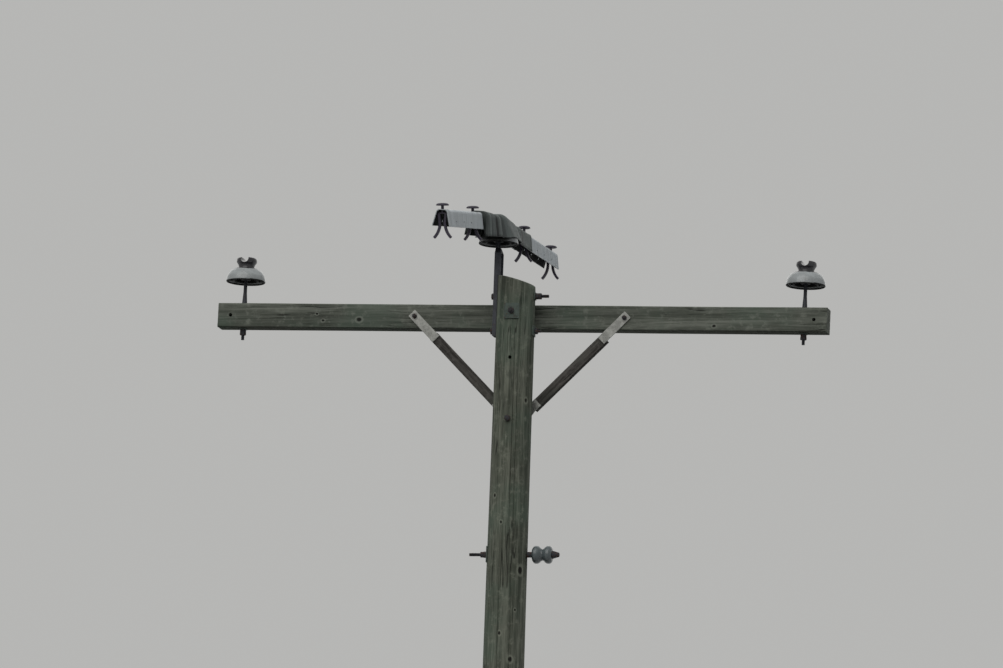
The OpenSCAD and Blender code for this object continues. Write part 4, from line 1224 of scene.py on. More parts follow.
class BuildStraps(bpy.types.Operator):
    """Builds the braces' steel straps, square at the arm, round and cranked at the pole, with their bolts"""

    bl_idname = "utility_pole.build_straps"
    bl_label = "Brace straps"

    def execute(self, context):
        s, h = settings("arm_sizes"), settings("pole_hardware")
        for side, word, step in ((-1, "left", s.strap_steel), (1, "right", 2 * s.strap_steel)):
            matrix, length = brace_frame(side)
            bm = bmesh.new()
            self.add_strap(bm, length - s.strap_length, length + s.strap_end, True)
            foot = self.add_strap(bm, -s.strap_end, s.foot_strap_length, False)
            for vert in foot:
                share = (s.crank_start - vert.co.z) / (s.crank_start - s.crank_end)
                vert.co.y += step * clamp(share)
            bmesh.ops.transform(bm, matrix=matrix, verts=bm.verts[:])
            finish_steel(bm, f"brace_{word}_straps", "rounded", "strap_steel")
        bolts, nuts = bmesh.new(), bmesh.new()
        front = settings("pole_sizes").gain_y - s.strap_steel
        for side in (-1, 1):
            back = on_arm((side * s.brace_reach, front + s.strap_steel + s.depth, 0))
            head = back @ Matrix.Rotation(-math.pi / 2, 4, "X")
            dome = [(0.0, -OVERLAP), (0.015, -OVERLAP), (0.0147, 0.0012), (0.0125, 0.0040)]
            dome += [(0.0085, 0.0056), (0.0, 0.006)]
            add_turned(bolts, head, dome, 40, closed=False)
            reach = s.depth + s.strap_steel + h.brace_nut_height + h.brace_tail
            shank = back @ Matrix.Rotation(math.pi / 2, 4, "X")
            thread = reach - h.brace_nut_height - h.brace_tail - 0.01
            add_rod(bolts, shank, h.brace_bolt_radius, -OVERLAP, reach, thread)
            seat = on_arm((side * s.brace_reach, front, 0)) @ Matrix.Rotation(math.pi / 2, 4, "X")
            add_nut(nuts, seat, h.brace_nut_flats, h.brace_nut_height)
        stand_for(bolts, "brace_arm_bolts", "threaded")
        stand_for(nuts, "brace_arm_nuts", "chamfered")
        return {"FINISHED"}

    def add_strap(self, bm, low, high, at_arm):
        """Flat strap in the brace's frame, whose end at the pole is round."""
        s = settings("arm_sizes")
        half = s.strap_width / 2
        before = set(bm.verts)
        add_box(bm, (-half, -s.strap_steel, low), (half, 0, high))
        strap = [vert for vert in bm.verts if vert not in before]
        for end, radius in ((high, s.strap_corner), (low, s.strap_corner if at_arm else half * 0.96)):
            edges = {edge for vert in strap if vert.is_valid for edge in vert.link_edges}
            corners = [
                edge
                for edge in edges
                if all(abs(vert.co.z - end) < TOUCH for vert in edge.verts) and reach_of(edge, 1) > 0.001
            ]
            round_off(bm, corners, radius, 12)
            strap = [vert for vert in bm.verts if vert not in before]
        if not at_arm:
            for height in (s.crank_end, s.crank_start):
                slice_at(bm, (0, 0, height), (0, 0, 1), whole(strap))
                strap = [vert for vert in bm.verts if vert not in before]
        return strap


class BuildArmPins(bpy.types.Operator):
    """Builds the two steel insulator pins on the arm, with their nuts below it"""

    bl_idname = "utility_pole.build_arm_pins"
    bl_label = "Insulator pins"

    def execute(self, context):
        s, h, i = settings("arm_sizes"), settings("pole_hardware"), settings("insulator_sizes")
        foot, stem, head = h.pin_foot_radius, h.pin_stem_radius, h.pin_head_radius
        top = i.rim_clearance + i.socket_depth
        start = i.rim_clearance + h.pin_thread_start
        flange = [(0.0, -OVERLAP), (foot + 0.004, -OVERLAP), (foot + 0.004, 0.003)]
        flange += arc((foot + 0.001, 0.003), 0.003, 0, 80, 4)
        taper = [(foot, 0.0065), (foot - 0.0004, 0.012), (stem + 0.0016, 0.040), (stem + 0.0002, 0.060)]
        lead = [(stem, start - 0.002), (head - 0.001, start), (head, start + 0.002)]
        ridges = []
        height = start + 0.004
        while height < top - 0.006:
            ridges += [(head, height), (head - 0.0016, height + 0.0021)]
            height += 0.0042
        tip = [(head, top - 0.003), (head - 0.003, top), (0.0, top)]
        for side, word in ((-1, "left"), (1, "right")):
            seat = on_arm((side * arm_pin_x(), arm_middle_y(), s.height / 2))
            bm = bmesh.new()
            add_turned(bm, seat, flange + taper + lead + ridges + tip, 48, closed=False)
            below = seat @ Matrix.Rotation(math.pi, 4, "X")
            reach = s.height + h.washer + 2 * h.nut_height + h.pin_tail
            add_rod(bm, below, h.bolt_radius, -OVERLAP, reach, s.height)
            stand_for(bm, f"arm_pin_{word}", "turned", "pin_steel")
        bm = bmesh.new()
        for side in (-1, 1):
            seat = on_arm((side * arm_pin_x(), arm_middle_y(), -s.height / 2 - h.washer))
            stack_nuts(bm, seat @ Matrix.Rotation(math.pi, 4, "X"), 2)
        stand_for(bm, "arm_pin_nuts", "chamfered")
        return {"FINISHED"}


class BuildBracket(bpy.types.Operator):
    """Builds the pole-top bracket with rounded steel edges, from the solid that it stands for"""

    bl_idname = "utility_pole.build_bracket"
    bl_label = "Pole-top bracket"

    def execute(self, context):
        bm = bmesh.new()
        bm.from_mesh(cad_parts["pole_top_bracket"].data)
        bmesh.ops.remove_doubles(bm, verts=bm.verts[:], dist=2e-5)
        bmesh.ops.dissolve_limit(bm, angle_limit=math.radians(1.0), verts=bm.verts[:], edges=bm.edges[:])
        finish_steel(bm, "pole_top_bracket", "rounded", "bracket_steel")
        return {"FINISHED"}


class BuildNeutral(bpy.types.Operator):
    """Builds the neutral's through bolt with its tapered head, the spacer and the glazed spool"""

    bl_idname = "utility_pole.build_neutral"
    bl_label = "Neutral spool"

    def execute(self, context):
        h, i = settings("pole_hardware"), settings("insulator_sizes")
        matrix, reach = along("neutral_bolt", (-1, 0, 0))
        bm = bmesh.new()
        head = h.taper_head
        wide, narrow = h.taper_head_radius, h.taper_end_radius
        profile = [(0.0, 0.0), (narrow - 0.003, 0.0), (narrow - 0.0008, 0.0008), (narrow, 0.003)]
        profile += [(wide - 0.001, head - 0.004), (wide, head - 0.002), (wide - 0.001, head), (0.0, head)]
        add_turned(bm, matrix, profile, 48, closed=False)
        add_rod(bm, matrix, h.bolt_radius, head - 0.002, reach, reach - h.neutral_thread)
        stand_for(bm, "neutral_bolt", "threaded")
        matrix, reach = along("neutral_spacer", (1, 0, 0))
        low, high, _ = node_box("neutral_spacer")
        outer, inner = (high.z - low.z) / 2, h.bolt_radius
        bm = bmesh.new()
        ring = [(inner, 0.0), (outer - 0.001, 0.0), (outer, 0.001)]
        ring += [(outer, reach - 0.001), (outer - 0.001, reach), (inner, reach)]
        add_turned(bm, matrix, ring, 40)
        stand_for(bm, "neutral_spacer", "turned")
        matrix, width = along("neutral_spool", (1, 0, 0))
        r, g, b = i.spool_radius, i.spool_groove_radius, h.bolt_radius + 0.0008
        side = [
            (r - 0.020, 0.0), (r - 0.012, 0.0012), (r - 0.006, 0.005), (r - 0.001, 0.011), (r, 0.020),
            (r - 0.001, 0.027), (r - 0.005, 0.034), (g + 0.003, 0.042),
        ]
        outline = side + [(g, width / 2)] + [(radius, width - height) for radius, height in reversed(side)]
        bm = bmesh.new()
        add_turned(bm, matrix, [(b, 0.0)] + smooth_profile(outline, 5) + [(b, width)], i.sides)
        place(bm, "neutral_spool_glazed", ["spool_glaze"], "spool_glaze", ["neutral_spool"], 50.0)
        return {"FINISHED"}


# Insulators


class BuildInsulators(bpy.types.Operator):
    """Builds the three pin insulators: pale bells with dark grooved heads, hollow below"""

    bl_idname = "utility_pole.build_insulators"
    bl_label = "Insulators"

    def execute(self, context):
        arm, i = settings("arm_sizes"), settings("insulator_sizes")
        rim = arm.height / 2 + i.rim_clearance
        seats = {
            word: on_arm((side * arm_pin_x(), arm_middle_y(), rim))
            for side, word in ((-1, "left"), (1, "right"))
        }
        low, _, middle = node_box("insulator_middle")
        seats["middle"] = Matrix.Translation((middle.x, middle.y, low.z))
        for word, seat in seats.items():
            self.insulator(word, seat)
        return {"FINISHED"}

    def profile(self):
        """Outline of half the insulator, from its socket round the rim to the top of its head."""
        i = settings("insulator_sizes")
        rim, neck, head, top = i.rim_radius, i.neck_radius, i.head_radius, i.height
        socket = i.socket_radius
        inside = [(0.0, i.socket_depth), (socket, i.socket_depth), (socket, 0.016)]
        skirts = smooth_profile([
            (socket + 0.002, 0.0135), (socket + 0.007, 0.012), (socket + 0.012, 0.0135),
            (socket + 0.015, 0.022), (socket + 0.020, 0.037),
            (rim - 0.048, 0.037), (rim - 0.044, 0.026), (rim - 0.042, 0.011),
            (rim - 0.037, 0.006), (rim - 0.032, 0.011), (rim - 0.029, 0.030), (rim - 0.024, 0.034),
            (rim - 0.015, 0.024), (rim - 0.010, 0.007), (rim - 0.0065, 0.0008), (rim - 0.003, 0.0004),
            (rim - 0.0004, 0.0045), (rim - 0.0009, 0.015), (rim - 0.0040, 0.030), (rim - 0.0112, 0.044),
            (rim - 0.0155, 0.0505), (rim - 0.024, 0.0592), (rim - 0.033, 0.0648), (neck + 0.009, 0.0672),
            (neck + 0.003, 0.0690), (neck + 0.0004, 0.0740), (neck + 0.0008, 0.0820), (neck + 0.0050, 0.0905),
            (head - 0.0025, 0.0965), (head - 0.0004, 0.1040), (head - 0.0022, top - 0.0070),
            (head - 0.0060, top - 0.0022), (head - 0.0110, top),
        ], 4)
        return inside + skirts + [(0.0, top)]

    def insulator(self, word, seat):
        """One insulator, with the groove for the wire cut across its head."""
        i = settings("insulator_sizes")
        bm = bmesh.new()
        add_turned(bm, seat, self.profile(), i.sides, closed=False)
        # The middle bell takes the glaze with the hood's shade painted on it.
        bell = "bell_painted_shade_glaze" if word == "middle" else "bell_glaze"
        finishes = [bell, "head_glaze", "inside_painted_shade_glaze"]
        piece = place(bm, f"insulator_{word}_glazed", finishes, "bell_glaze", [f"insulator_{word}"], 60.0)
        floor, r = i.height - i.groove_depth, i.groove_radius
        outline = arc((0, floor + r), r, 180, 360, 24) + [(r, i.height + 0.02), (-r, i.height + 0.02)]
        rings = [[seat @ Vector((across, depth, up)) for across, up in outline] for depth in (-0.08, 0.08)]
        cut_away(piece, solid_through(rings), 50.0)
        soften(piece, 0.0016, 3, 50.0)
        piece.data.set_sharp_from_angle(angle=math.radians(60.0))
        inverse = seat.inverted()
        upright = seat.to_3x3() @ Vector((0, 0, 1))
        for face in piece.data.polygons:
            face.material_index = self.glaze_at(inverse @ face.center, face.normal.dot(upright))

    def glaze_at(self, point, facing_up):
        """Number of the finish at a point: pale outside, dark head, and painted shade on the inside, the
        undersides and the lip below the rim.
        """
        i = settings("insulator_sizes")
        across = point.xy.length
        wavy = i.glaze_line + 0.0006 * noise.noise(Vector((point.x * 40, point.y * 40, 0)))
        if point.z < 0.045 and (across < i.rim_radius - 0.0125 or facing_up < -0.35 or point.z < i.lip):
            return 2
        if across < i.socket_radius + 0.002 and point.z < i.socket_depth + 0.001:
            return 2
        return 1 if point.z > wavy else 0


# Wildlife cover over the middle insulator


ARM_STATIONS = 60
BELLOWS_STEP = 0.0026
CORNER_STEPS = 16


def section(crown, mouth, height):
    """Cross-section of a cover as (across, up) points, from one mouth edge over the crown to the other."""
    radius = crown * settings("cover_sizes").corner_share
    centre = crown / 2 - radius
    foot = (mouth / 2 - centre, radius - height)
    turn = math.atan2(foot[1], foot[0]) + math.acos(radius / math.hypot(*foot))
    corner = arc((centre, -radius), radius, math.degrees(turn), 90, 7)
    start = Vector((mouth / 2, -height))
    wall = [tuple(start.lerp(Vector(corner[0]), step / 6)) for step in range(6)]
    right = wall + corner
    left = [(-across, up) for across, up in reversed(right)]
    return right + [(0.0, 0.0)] + left


def turn_outwards(bm, faces, centre):
    """Turns an open surface so that it faces away from the line through its middle."""
    bm.normal_update()
    outwards = 0.0
    for face in faces:
        middle = face.calc_center_median()
        outwards += face.normal.dot(middle - centre(middle))
    if outwards < 0:
        bmesh.ops.reverse_faces(bm, faces=faces)


def cover_line(way, roll=0.0):
    """Frame of a cover arm, rolled about its middle: local Y runs outwards along its crown."""
    c = settings("cover_sizes")
    rise, tilt = (c.near_rise, c.near_fall) if way < 0 else (c.far_rise, c.far_climb)
    middle = MIDDLE.x + (c.near_shift if way < 0 else 0.0)
    top = Matrix.Translation((middle, 0, hood_crown() + rise)) @ Matrix.Rotation(tilt, 4, "X")
    return top @ rolled(roll) @ facing(way)


def rolled(roll):
    """Roll of a cover section about its middle, which takes its crown towards +X."""
    middle = Matrix.Translation((0, 0, -settings("cover_sizes").height / 2))
    return middle @ Matrix.Rotation(roll, 4, "Y") @ middle.inverted()


def facing(way):
    """Half turn of the near side, so that local Y runs outwards."""
    return Matrix.Rotation(math.pi, 4, "Z") if way < 0 else Matrix.Identity(4)


def hood_crown():
    """Height of the dome's crown."""
    return MIDDLE_RIM.z + settings("cover_sizes").dome_rise


def line_height(way, place):
    """Height of a cover arm's crown at a distance from the insulator."""
    c = settings("cover_sizes")
    if way < 0:
        return hood_crown() + c.near_rise - place * math.tan(c.near_fall)
    return hood_crown() + c.far_rise + place * math.tan(c.far_climb)


def shell(bm, name, finish, slot, nodes, wall):
    """Gives an open surface its wall, with its inside in a near-black finish that paints the shade within,
    and places it.
    """
    piece = place(bm, name, [finish, "inside_painted_shade_plastic"], slot, nodes, 40.0)
    thick = piece.modifiers.new("wall", "SOLIDIFY")
    thick.thickness = wall
    thick.offset = -1
    thick.use_even_offset = True
    # The inside faces take the second finish, which paints the shade within.
    thick.material_offset = 1
    bpy.context.view_layer.update()
    apply_modifiers(piece)
    return piece


def middle_line(point):
    """Nearest point inside the cover, halfway down."""
    way = -1 if point.y < 0 else 1
    return Vector((MIDDLE.x, point.y, line_height(way, abs(point.y)) - 0.045))


def swell(place, start, end, blend):
    """Share of 1 between two places along the line, with soft ends."""
    lower = min(clamp((place - start) / blend), clamp((end - place) / blend))
    return lower * lower * (3 - 2 * lower)


class BuildCoverArms(bpy.types.Operator):
    """Builds the two open cover arms, slightly warped, with their row of pin holes"""

    bl_idname = "utility_pole.build_cover_arms"
    bl_label = "Cover arms"

    def execute(self, context):
        c = settings("cover_sizes")
        for way, word, reach in ((-1, "near", c.near_reach), (1, "far", c.far_reach)):
            line = cover_line(way, c.roll)
            bm = bmesh.new()
            faces = sweep(bm, [self.station(line, way, reach, step) for step in range(ARM_STATIONS + 1)])
            turn_outwards(bm, faces, middle_line)
            node = f"cover_arm_{word}"
            piece = shell(bm, f"{node}_shell", "arm_plastic", "pale_plastic", [node], c.wall)
            holes = bmesh.new()
            spot = reach - c.hole_pitch
            while spot > reach - c.arm_length + c.hole_pitch:
                hole = Matrix.Translation((0, spot, -c.hole_depth))
                across = line @ hole @ Matrix.Rotation(math.pi / 2, 4, "Y")
                add_cylinder(holes, across, c.hole_radius, -0.06, 0.06, 24)
                spot -= c.hole_pitch
            cut_away(piece, holes, 40.0)
        return {"FINISHED"}

    def station(self, line, way, reach, step):
        """Points of a cover arm's section at a step of its length, a little warped and sagging."""
        c = settings("cover_sizes")
        place_y = reach - c.arm_length + c.arm_length * step / ARM_STATIONS
        sag = 0.0008 * noise.noise(Vector((place_y * 9.0, 7.0 * way, 0)))
        ring = []
        for across, up in section(c.crown, c.mouth, c.height):
            depth = clamp(-up / c.height)
            side = math.copysign(2.0, across)
            warp = 0.0018 * noise.noise(Vector((place_y * 5.0, 3.0 * way, side))) * depth
            flare = depth * (c.near_flare * max(0.0, step / ARM_STATIONS - 0.5) * 2 if way < 0 else 0.0)
            wide = across + math.copysign(flare, across) - warp
            ring.append(line @ Vector((wide, place_y, up - abs(sag))))
        return ring


class BuildHood(bpy.types.Operator):
    """Builds the hood: a rounded dome over the insulator, ribbed bellows and a sleeve each way"""

    bl_idname = "utility_pole.build_hood"
    bl_label = "Cover hood"

    def execute(self, context):
        c = settings("cover_sizes")
        dome = self.dome()
        for way, word, trim, end in (
            (-1, "near", c.near_trim, c.near_bellows),
            (1, "far", c.far_trim, c.far_bellows),
        ):
            bm = bmesh.new()
            faces = sweep(bm, self.rings(way, trim, end))
            turn_outwards(bm, faces, middle_line)
            shell(bm, f"cover_hood_{word}_bellows", "hood_plastic", "pale_plastic", [], c.wall)
            self.open_dome(dome, way, trim, end)
        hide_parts("cover_hood")
        return {"FINISHED"}

    def bellows_place(self, way, trim, end, place_y, grow):
        """Points of the bellows' section at a distance from the insulator."""
        c = settings("cover_sizes")
        share = clamp((place_y - c.dome_half) / (end - c.dome_half))
        outer = line_height(way, end) + trim / 2
        if way < 0:
            root = (c.bellows_crown, c.bellows_mouth, c.near_root_height, hood_crown() - c.near_root_drop)
            tip = (c.near_end_crown, c.near_end_mouth, c.near_end_height, outer + c.near_end_step)
        else:
            root = (c.bellows_crown, c.bellows_mouth, c.far_root_height, hood_crown())
            tip = (c.crown + trim, c.mouth + trim, c.height + trim / 2, outer)
        crown, mouth, height, top = (start + (finish - start) * share for start, finish in zip(root, tip))
        outline = section(crown + 2 * grow, mouth + 2 * grow, height + grow)
        middle = MIDDLE.x + (c.near_shift * share if way < 0 else 0.0)
        here = Matrix.Translation((middle, way * place_y, top + grow)) @ rolled(c.roll * share) @ facing(way)
        return [here @ Vector((across, 0, up)) for across, up in outline]

    def near_form(self, place_y):
        """Growth of the near bellows: a ring at the dome, a deep valley and fine ribs outwards."""
        c = settings("cover_sizes")
        from_dome = place_y - c.dome_half
        ring = swell(from_dome, 0.0, NEAR_FORM["ring_end"], 0.012)
        valley = swell(from_dome, NEAR_FORM["valley"], NEAR_FORM["valley_end"], 0.012)
        ribs = swell(from_dome, NEAR_FORM["ribs"], c.near_bellows - c.dome_half - 0.002, 0.004)
        wave = abs(math.sin(math.pi * (from_dome - NEAR_FORM["ribs"]) / c.near_rib_pitch)) ** 0.8
        return c.ring_height * ring - c.valley_depth * valley + c.near_rib_height * ribs * wave

    def far_form(self, place_y):
        """Growth of the far bellows: broad low ribs with a seam between each two."""
        c = settings("cover_sizes")
        along_rib = (place_y - c.dome_half) % c.far_rib_pitch
        return c.far_rib_height * swell(along_rib, 0.006, c.far_rib_pitch - 0.006, 0.010)

    def rings(self, way, trim, end):
        """Stations of the bellows with their ribs, and then of the sleeve."""
        c = settings("cover_sizes")
        start = c.dome_half - c.bellows_root
        count = round((end - start) / BELLOWS_STEP)
        rings = []
        for step in range(count + 1):
            place_y = start + (end - start) * step / count
            grow = self.near_form(place_y) if way < 0 else self.far_form(place_y)
            rings.append(self.bellows_place(way, trim, end, place_y, grow))
        line = cover_line(way, c.roll)
        lip = c.hood_half - 0.010
        for place_y, grow in (
            (end + 0.006, 0.0),
            (end + 0.012, 0.0),
            (lip - 0.03, 0.0),
            (lip, 0.0),
            (lip + 0.002, 0.0012),
            (lip + 0.008, 0.0012),
            (c.hood_half, 0.0004),
        ):
            crown, mouth = c.crown + trim + 2 * grow, c.mouth + trim + 2 * grow
            outline = section(crown, mouth, c.height + trim / 2 + grow)
            rings.append([line @ Vector((across, place_y, up + trim / 2 + grow)) for across, up in outline])
        return rings

    def dome(self):
        """Rounded dome over the insulator, open below, from sections that close in at its ends."""
        c = settings("cover_sizes")
        height = c.dome_rise - c.dome_foot
        side = c.dome_mouth / 2
        turns = [math.radians(90 * step / CORNER_STEPS) for step in range(CORNER_STEPS)]
        stations = [-c.dome_half + c.dome_corner * (1 - math.cos(turn)) for turn in turns]
        level = c.dome_half - c.dome_corner
        stations += [-level + 2 * level * step / 24 for step in range(25)]
        stations += [-station for station in reversed(stations[:CORNER_STEPS])]
        rings = []
        for place_y in stations:
            in_plan = max(0.0, abs(place_y) - level) / c.dome_corner
            seen = max(0.0, abs(place_y) - c.dome_half + c.dome_edge) / c.dome_edge
            half = side - c.dome_corner * (1 - math.sqrt(max(0.0, 1 - in_plan * in_plan)))
            drop = c.dome_edge * (1 - math.sqrt(max(0.0, 1 - seen * seen)))
            dip = c.near_root_dip * swell(-place_y, 0.02, 1.0, c.dome_half - 0.02)
            outline = section(c.dome_crown * half / side, 2 * half, height - drop + dip)
            rings.append([Vector((across, place_y, up - drop)) for across, up in outline])
        near_end = [Vector((0, -c.dome_half, point.z)) for point in rings[0]]
        far_end = [Vector((0, c.dome_half, point.z)) for point in rings[-1]]
        rings = [near_end, *rings, far_end]
        bm = bmesh.new()
        faces = sweep(bm, rings)
        bmesh.ops.remove_doubles(bm, verts=bm.verts[:], dist=TOUCH)
        faces = [face for face in faces if face.is_valid]
        turn_outwards(bm, faces, lambda point: Vector((0, 0, -height)))
        for vert in bm.verts:
            slump = 0.0015 * noise.noise(vert.co * 14 + Vector((5, 2, 1)))
            vert.co.z -= abs(slump)
            vert.co.x *= 1 - abs(slump) * 4
        bmesh.ops.translate(bm, vec=(MIDDLE.x, 0, hood_crown()), verts=bm.verts[:])
        return shell(bm, "cover_hood_dome", "hood_plastic", "pale_plastic", [], c.wall)

    def open_dome(self, dome, way, trim, end):
        """Opens the dome's end wall into the bellows."""
        c = settings("cover_sizes")
        rings = []
        for place_y in (c.dome_half - c.bellows_root - c.wall, c.dome_half + 0.02):
            ring = self.bellows_place(way, trim, end, c.dome_half, -c.wall)
            below = Vector((0, 0, 0.06))
            ends = [ring[-1] - below, ring[0] - below]
            rings.append([Vector((point.x, way * place_y, point.z)) for point in ring + ends])
        cut_away(dome, solid_through(rings), 40.0)


class BuildCoverPins(bpy.types.Operator):
    """Builds the four push pins of the cover: domed head, stem, cross bar and two curved legs"""

    bl_idname = "utility_pole.build_cover_pins"
    bl_label = "Cover pins"

    def execute(self, context):
        for node, way in (
            ("cover_pin_near_outer", -1),
            ("cover_pin_near_inner", -1),
            ("cover_pin_far_inner", 1),
            ("cover_pin_far_outer", 1),
        ):
            self.pin(node, way)
        return {"FINISHED"}

    def pin(self, node, way):
        """One push pin, set out from the box of its CAD node in the cover arm's frame."""
        c = settings("cover_sizes")
        line = cover_line(way)
        inverse = line.inverted()
        corners = [inverse @ vert.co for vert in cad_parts[node].data.vertices]
        top = max(corner.z for corner in corners)
        foot = min(corner.z for corner in corners)
        place_y = (max(corner.y for corner in corners) + min(corner.y for corner in corners)) / 2
        spot = line @ Matrix.Translation((0, place_y, 0))
        latch = self.latch_height(c.near_trim if node == "cover_pin_near_inner" else 0.0)
        bm = bmesh.new()
        add_turned(bm, spot, self.head(latch, top), 48, closed=False)
        legs = c.leg_gap / 2 + c.leg_root
        half = c.leg_width / 2
        add_box(bm, (-legs, -half, latch), (legs, half, latch + c.latch_thickness), spot)
        for side in (-1, 1):
            before = set(bm.faces)
            sweep(bm, self.leg(spot, side, latch, foot), loop=True)
            leg = [face for face in bm.faces if face not in before]
            ends = {edge for face in leg for edge in face.edges if edge.is_boundary}
            closed = bmesh.ops.holes_fill(bm, edges=list(ends), sides=0)["faces"]
            bmesh.ops.recalc_face_normals(bm, faces=leg + closed)
        finish_pin = place(bm, f"{node}_moulded", ["pin_plastic"], "dark_plastic", [node], 45.0)
        soften(finish_pin, 0.001, 2, 50.0)

    def head(self, latch, top):
        """Outline of a pin's stem and domed head."""
        c = settings("cover_sizes")
        r, stem, under = c.cap_radius, c.stem_radius, top - c.cap_thickness
        neck = [(0.0, latch), (stem, latch), (stem, under - 0.001), (stem + 0.003, under + 0.003)]
        rim = [(r - 0.008, under + 0.0035), (r - 0.005, under + 0.0006)]
        rim += arc((r - 0.0035, under + 0.0035), 0.0035, -80, 60, 6)
        return neck + rim + [(r - 0.006, top - 0.0025), (r - 0.014, top - 0.0006), (r * 0.3, top), (0.0, top)]

    def leg(self, spot, side, latch, foot):
        """Rows of points down one curved leg, which grows thinner towards its tip."""
        c = settings("cover_sizes")
        bend = c.leg_bend_rise - c.height
        radius = (bend - foot) / math.sin(c.leg_sweep)
        root, inner, half = c.leg_gap / 2, c.neck_gap / 2, c.leg_width / 2
        path = [(root, latch + c.latch_thickness - 0.001), ((root + inner) / 2, (latch + bend) / 2)]
        path += arc((inner + radius, bend), radius, 180, 180 + math.degrees(c.leg_sweep), CORNER_STEPS)
        rings = []
        for index, (across, up) in enumerate(path):
            turn = max(0.0, (index - 2) / CORNER_STEPS * c.leg_sweep)
            taper = min(1.0, (up - foot) / (latch - foot))
            thick = c.leg_thickness + (c.leg_root - c.leg_thickness) * taper
            outer, lift = across + thick * math.cos(turn), up + thick * math.sin(turn)
            corners = ((across, -half, up), (outer, -half, lift), (outer, half, lift), (across, half, up))
            rings.append([spot @ Vector((side * x, y, z)) for x, y, z in corners])
        return rings

    def latch_height(self, trim):
        """Height of the cross bar's underside, below the crown of the cover arm."""
        c = settings("cover_sizes")
        crown = c.crown + trim - 2 * c.wall
        mouth = c.mouth + trim - 2 * c.wall
        height = c.height + trim / 2 - c.wall
        radius = crown * c.corner_share
        beyond = c.leg_gap / 2 + c.leg_root + c.gap - crown / 2 + radius
        if beyond <= 0:
            depth = 0.0
        elif beyond < radius:
            depth = radius - math.sqrt(radius * radius - beyond * beyond)
        else:
            depth = radius + (height - radius) * (beyond - radius) / (mouth / 2 - crown / 2)
        return (trim - 2 * c.wall) / 2 - depth - c.latch_thickness


class FinishFrame(bpy.types.Operator):
    """Gives each CAD node that stays in view its finish"""

    bl_idname = "utility_pole.finish_frame"
    bl_label = "Frame finishes"

    def execute(self, context):
        for name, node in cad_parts.items():
            for slot in node.material_slots:
                slot.material = material(self.finish_of(name))
        return {"FINISHED"}

    def finish_of(self, name):
        """Name of a node's finish, the first whose test holds."""
        known = {
            "pole_shaft": "pole_wood",
            "crossarm": "arm_wood",
            "brace_left": "brace_left_wood",
            "brace_right": "brace_right_wood",
            "pole_top_bracket": "bracket_steel",
            "neutral_spool": "spool_glaze",
            "cover_hood": "hood_plastic",
            "arm_pin_left": "pin_steel",
            "arm_pin_right": "pin_steel",
        }
        tests = (
            (name in known, known.get(name)),
            (name.startswith("cover_arm"), "arm_plastic"),
            (name.startswith("cover_pin"), "pin_plastic"),
            (name.startswith("insulator"), "bell_glaze"),
            (name.endswith("straps"), "strap_steel"),
            ("washer" in name, "plate_steel"),
            (True, "bolt_steel"),
        )
        return next(finish for holds, finish in tests if holds)


# Stage


VIEW_AZIMUTH = math.radians(13.2)
VIEW_ELEVATION = math.radians(10.0)
VIEW_ROLL = math.radians(2.02)
VIEW_DISTANCE = 36.0
VIEW_TARGET = Vector((-0.0673, 0.0, 8.5518))
IMAGE_WIDTH = 1003
FOCAL_PIXELS = 7397
SENSOR_WIDTH = 36.0
FLOOR_HALF = 60


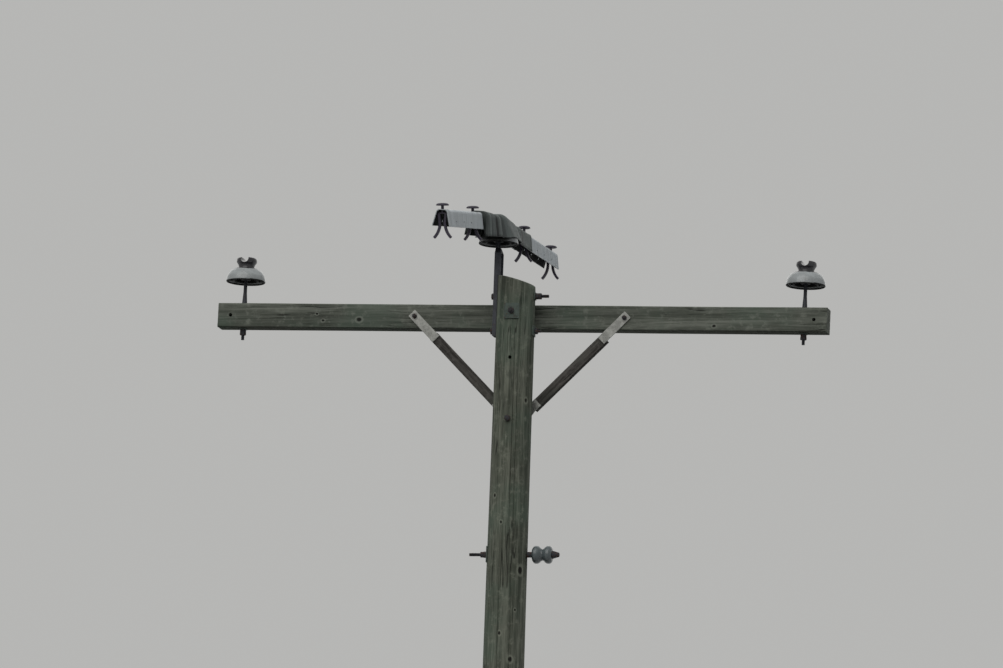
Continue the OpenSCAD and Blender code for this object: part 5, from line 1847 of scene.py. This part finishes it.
class BuildStage(bpy.types.Operator):
    """Sets the plain floor, the soft studio light and the camera"""

    bl_idname = "utility_pole.build_stage"
    bl_label = "Stage"

    def execute(self, context):
        scene = context.scene
        c = settings("pole_finishes")
        pale, ground = tuple(c.floor), tuple(c.ground)
        bm = bmesh.new()
        bmesh.ops.create_grid(bm, x_segments=2, y_segments=2, size=FLOOR_HALF)
        mesh = bpy.data.meshes.new("floor")
        bm.to_mesh(mesh)
        bm.free()
        floor = bpy.data.objects.new("floor", mesh)
        floor.data.materials.append(self.floor_finish(pale, ground))
        scene.collection.objects.link(floor)
        self.light_world(scene, pale)
        self.light_lamps(scene)
        self.set_camera(scene)
        scene.view_settings.view_transform = "Standard"
        return {"FINISHED"}

    def floor_finish(self, pale, ground):
        """Pale to the camera and in reflections, and darker in the soft light that it throws back."""
        g = Graph("floor_finish")
        return g.finish(g.blend(self.seen_rays(g.tree), ground, pale), 0.9)

    def seen_rays(self, tree):
        """Socket that is 1 for camera, glossy and transmission rays."""
        rays = tree.nodes.new("ShaderNodeLightPath")
        clear = tree.nodes.new("ShaderNodeMath")
        clear.operation = "MAXIMUM"
        tree.links.new(rays.outputs["Is Glossy Ray"], clear.inputs[0])
        tree.links.new(rays.outputs["Is Transmission Ray"], clear.inputs[1])
        seen = tree.nodes.new("ShaderNodeMath")
        seen.operation = "MAXIMUM"
        tree.links.new(rays.outputs["Is Camera Ray"], seen.inputs[0])
        tree.links.new(clear.outputs[0], seen.inputs[1])
        return seen.outputs[0]

    def light_world(self, scene, background):
        """A plain pale backdrop for the camera and an even soft sky for the object."""
        world = bpy.data.worlds.new("studio")
        scene.world = world
        world.use_nodes = True
        nodes, links = world.node_tree.nodes, world.node_tree.links
        nodes.clear()
        shown = nodes.new("ShaderNodeBackground")
        shown.inputs["Color"].default_value = (*background, 1)
        shown.inputs["Strength"].default_value = 1.0
        place = nodes.new("ShaderNodeTexCoord")
        split = nodes.new("ShaderNodeSeparateXYZ")
        links.new(place.outputs["Generated"], split.inputs[0])
        level = nodes.new("ShaderNodeMapRange")
        level.inputs["From Min"].default_value = -0.10
        level.inputs["From Max"].default_value = 0.6
        level.inputs["To Min"].default_value = 0.03
        level.inputs["To Max"].default_value = 1.0
        links.new(split.outputs["Z"], level.inputs["Value"])
        sky = nodes.new("ShaderNodeBackground")
        sky.inputs["Color"].default_value = (0.93, 0.96, 1.0, 1)
        links.new(level.outputs["Result"], sky.inputs["Strength"])
        mix = nodes.new("ShaderNodeMixShader")
        links.new(self.seen_rays(world.node_tree), mix.inputs[0])
        links.new(sky.outputs[0], mix.inputs[1])
        links.new(shown.outputs[0], mix.inputs[2])
        out = nodes.new("ShaderNodeOutputWorld")
        links.new(mix.outputs[0], out.inputs["Surface"])

    def light_lamps(self, scene):
        """A broad high lamp in front on the left, and a weaker one behind on the other side."""
        for name, turn, strength, angle in (
            ("sky_key", (math.radians(52), 0, math.radians(-12)), 1.1, 60),
            ("sky_back", (math.radians(-62), 0, math.radians(20)), 0.5, 70),
        ):
            lamp = bpy.data.lights.new(name, "SUN")
            lamp.energy = strength
            lamp.angle = math.radians(angle)
            lamp.color = (1.0, 0.99, 0.97)
            source = bpy.data.objects.new(name, lamp)
            source.rotation_euler = turn
            scene.collection.objects.link(source)

    def set_camera(self, scene):
        """The camera at the photograph's viewing angle, looking up from near the ground."""
        forward = Vector(
            (
                -math.sin(VIEW_AZIMUTH) * math.cos(VIEW_ELEVATION),
                math.cos(VIEW_AZIMUTH) * math.cos(VIEW_ELEVATION),
                math.sin(VIEW_ELEVATION),
            )
        )
        camera = bpy.data.cameras.new("view")
        camera.sensor_width = SENSOR_WIDTH
        camera.lens = SENSOR_WIDTH * FOCAL_PIXELS / IMAGE_WIDTH
        camera.clip_end = 500
        viewer = bpy.data.objects.new("view", camera)
        aim = forward.to_track_quat("-Z", "Y").to_matrix().to_4x4()
        spot = Matrix.Translation(VIEW_TARGET - forward * VIEW_DISTANCE)
        viewer.matrix_world = spot @ aim @ Matrix.Rotation(VIEW_ROLL, 4, "Z")
        scene.collection.objects.link(viewer)
        scene.camera = viewer


class PolePanel(bpy.types.Panel):
    """Lists the steps that build the pole"""

    bl_idname = "UTILITY_POLE_PT_steps"
    bl_label = "Utility pole"
    bl_space_type = "VIEW_3D"
    bl_region_type = "UI"
    bl_category = "Utility pole"

    def draw(self, context):
        for step in STEPS:
            self.layout.operator(step.bl_idname)


GROUPS = {
    "pole_sizes": PoleSizes,
    "arm_sizes": ArmSizes,
    "pole_hardware": HardwareSizes,
    "insulator_sizes": InsulatorSizes,
    "cover_sizes": CoverSizes,
    "pole_finishes": Finishes,
}

STEPS = (
    MakeFinishes,
    BuildPole,
    BuildArm,
    BuildBraces,
    BuildBolts,
    BuildWashers,
    BuildStraps,
    BuildArmPins,
    BuildBracket,
    BuildNeutral,
    BuildInsulators,
    BuildCoverArms,
    BuildHood,
    BuildCoverPins,
    FinishFrame,
    BuildStage,
)


def register():
    for group in GROUPS.values():
        bpy.utils.register_class(group)
    for step in (*STEPS, PolePanel):
        bpy.utils.register_class(step)
    for name, group in GROUPS.items():
        setattr(bpy.types.Scene, name, bpy.props.PointerProperty(type=group))


def unregister():
    for name in GROUPS:
        delattr(bpy.types.Scene, name)
    for step in (PolePanel, *reversed(STEPS)):
        bpy.utils.unregister_class(step)
    for group in reversed(GROUPS.values()):
        bpy.utils.unregister_class(group)


def main():
    register()
    for step in STEPS:
        area, name = step.bl_idname.split(".")
        getattr(getattr(bpy.ops, area), name)()


if __name__ == "__main__":
    main()
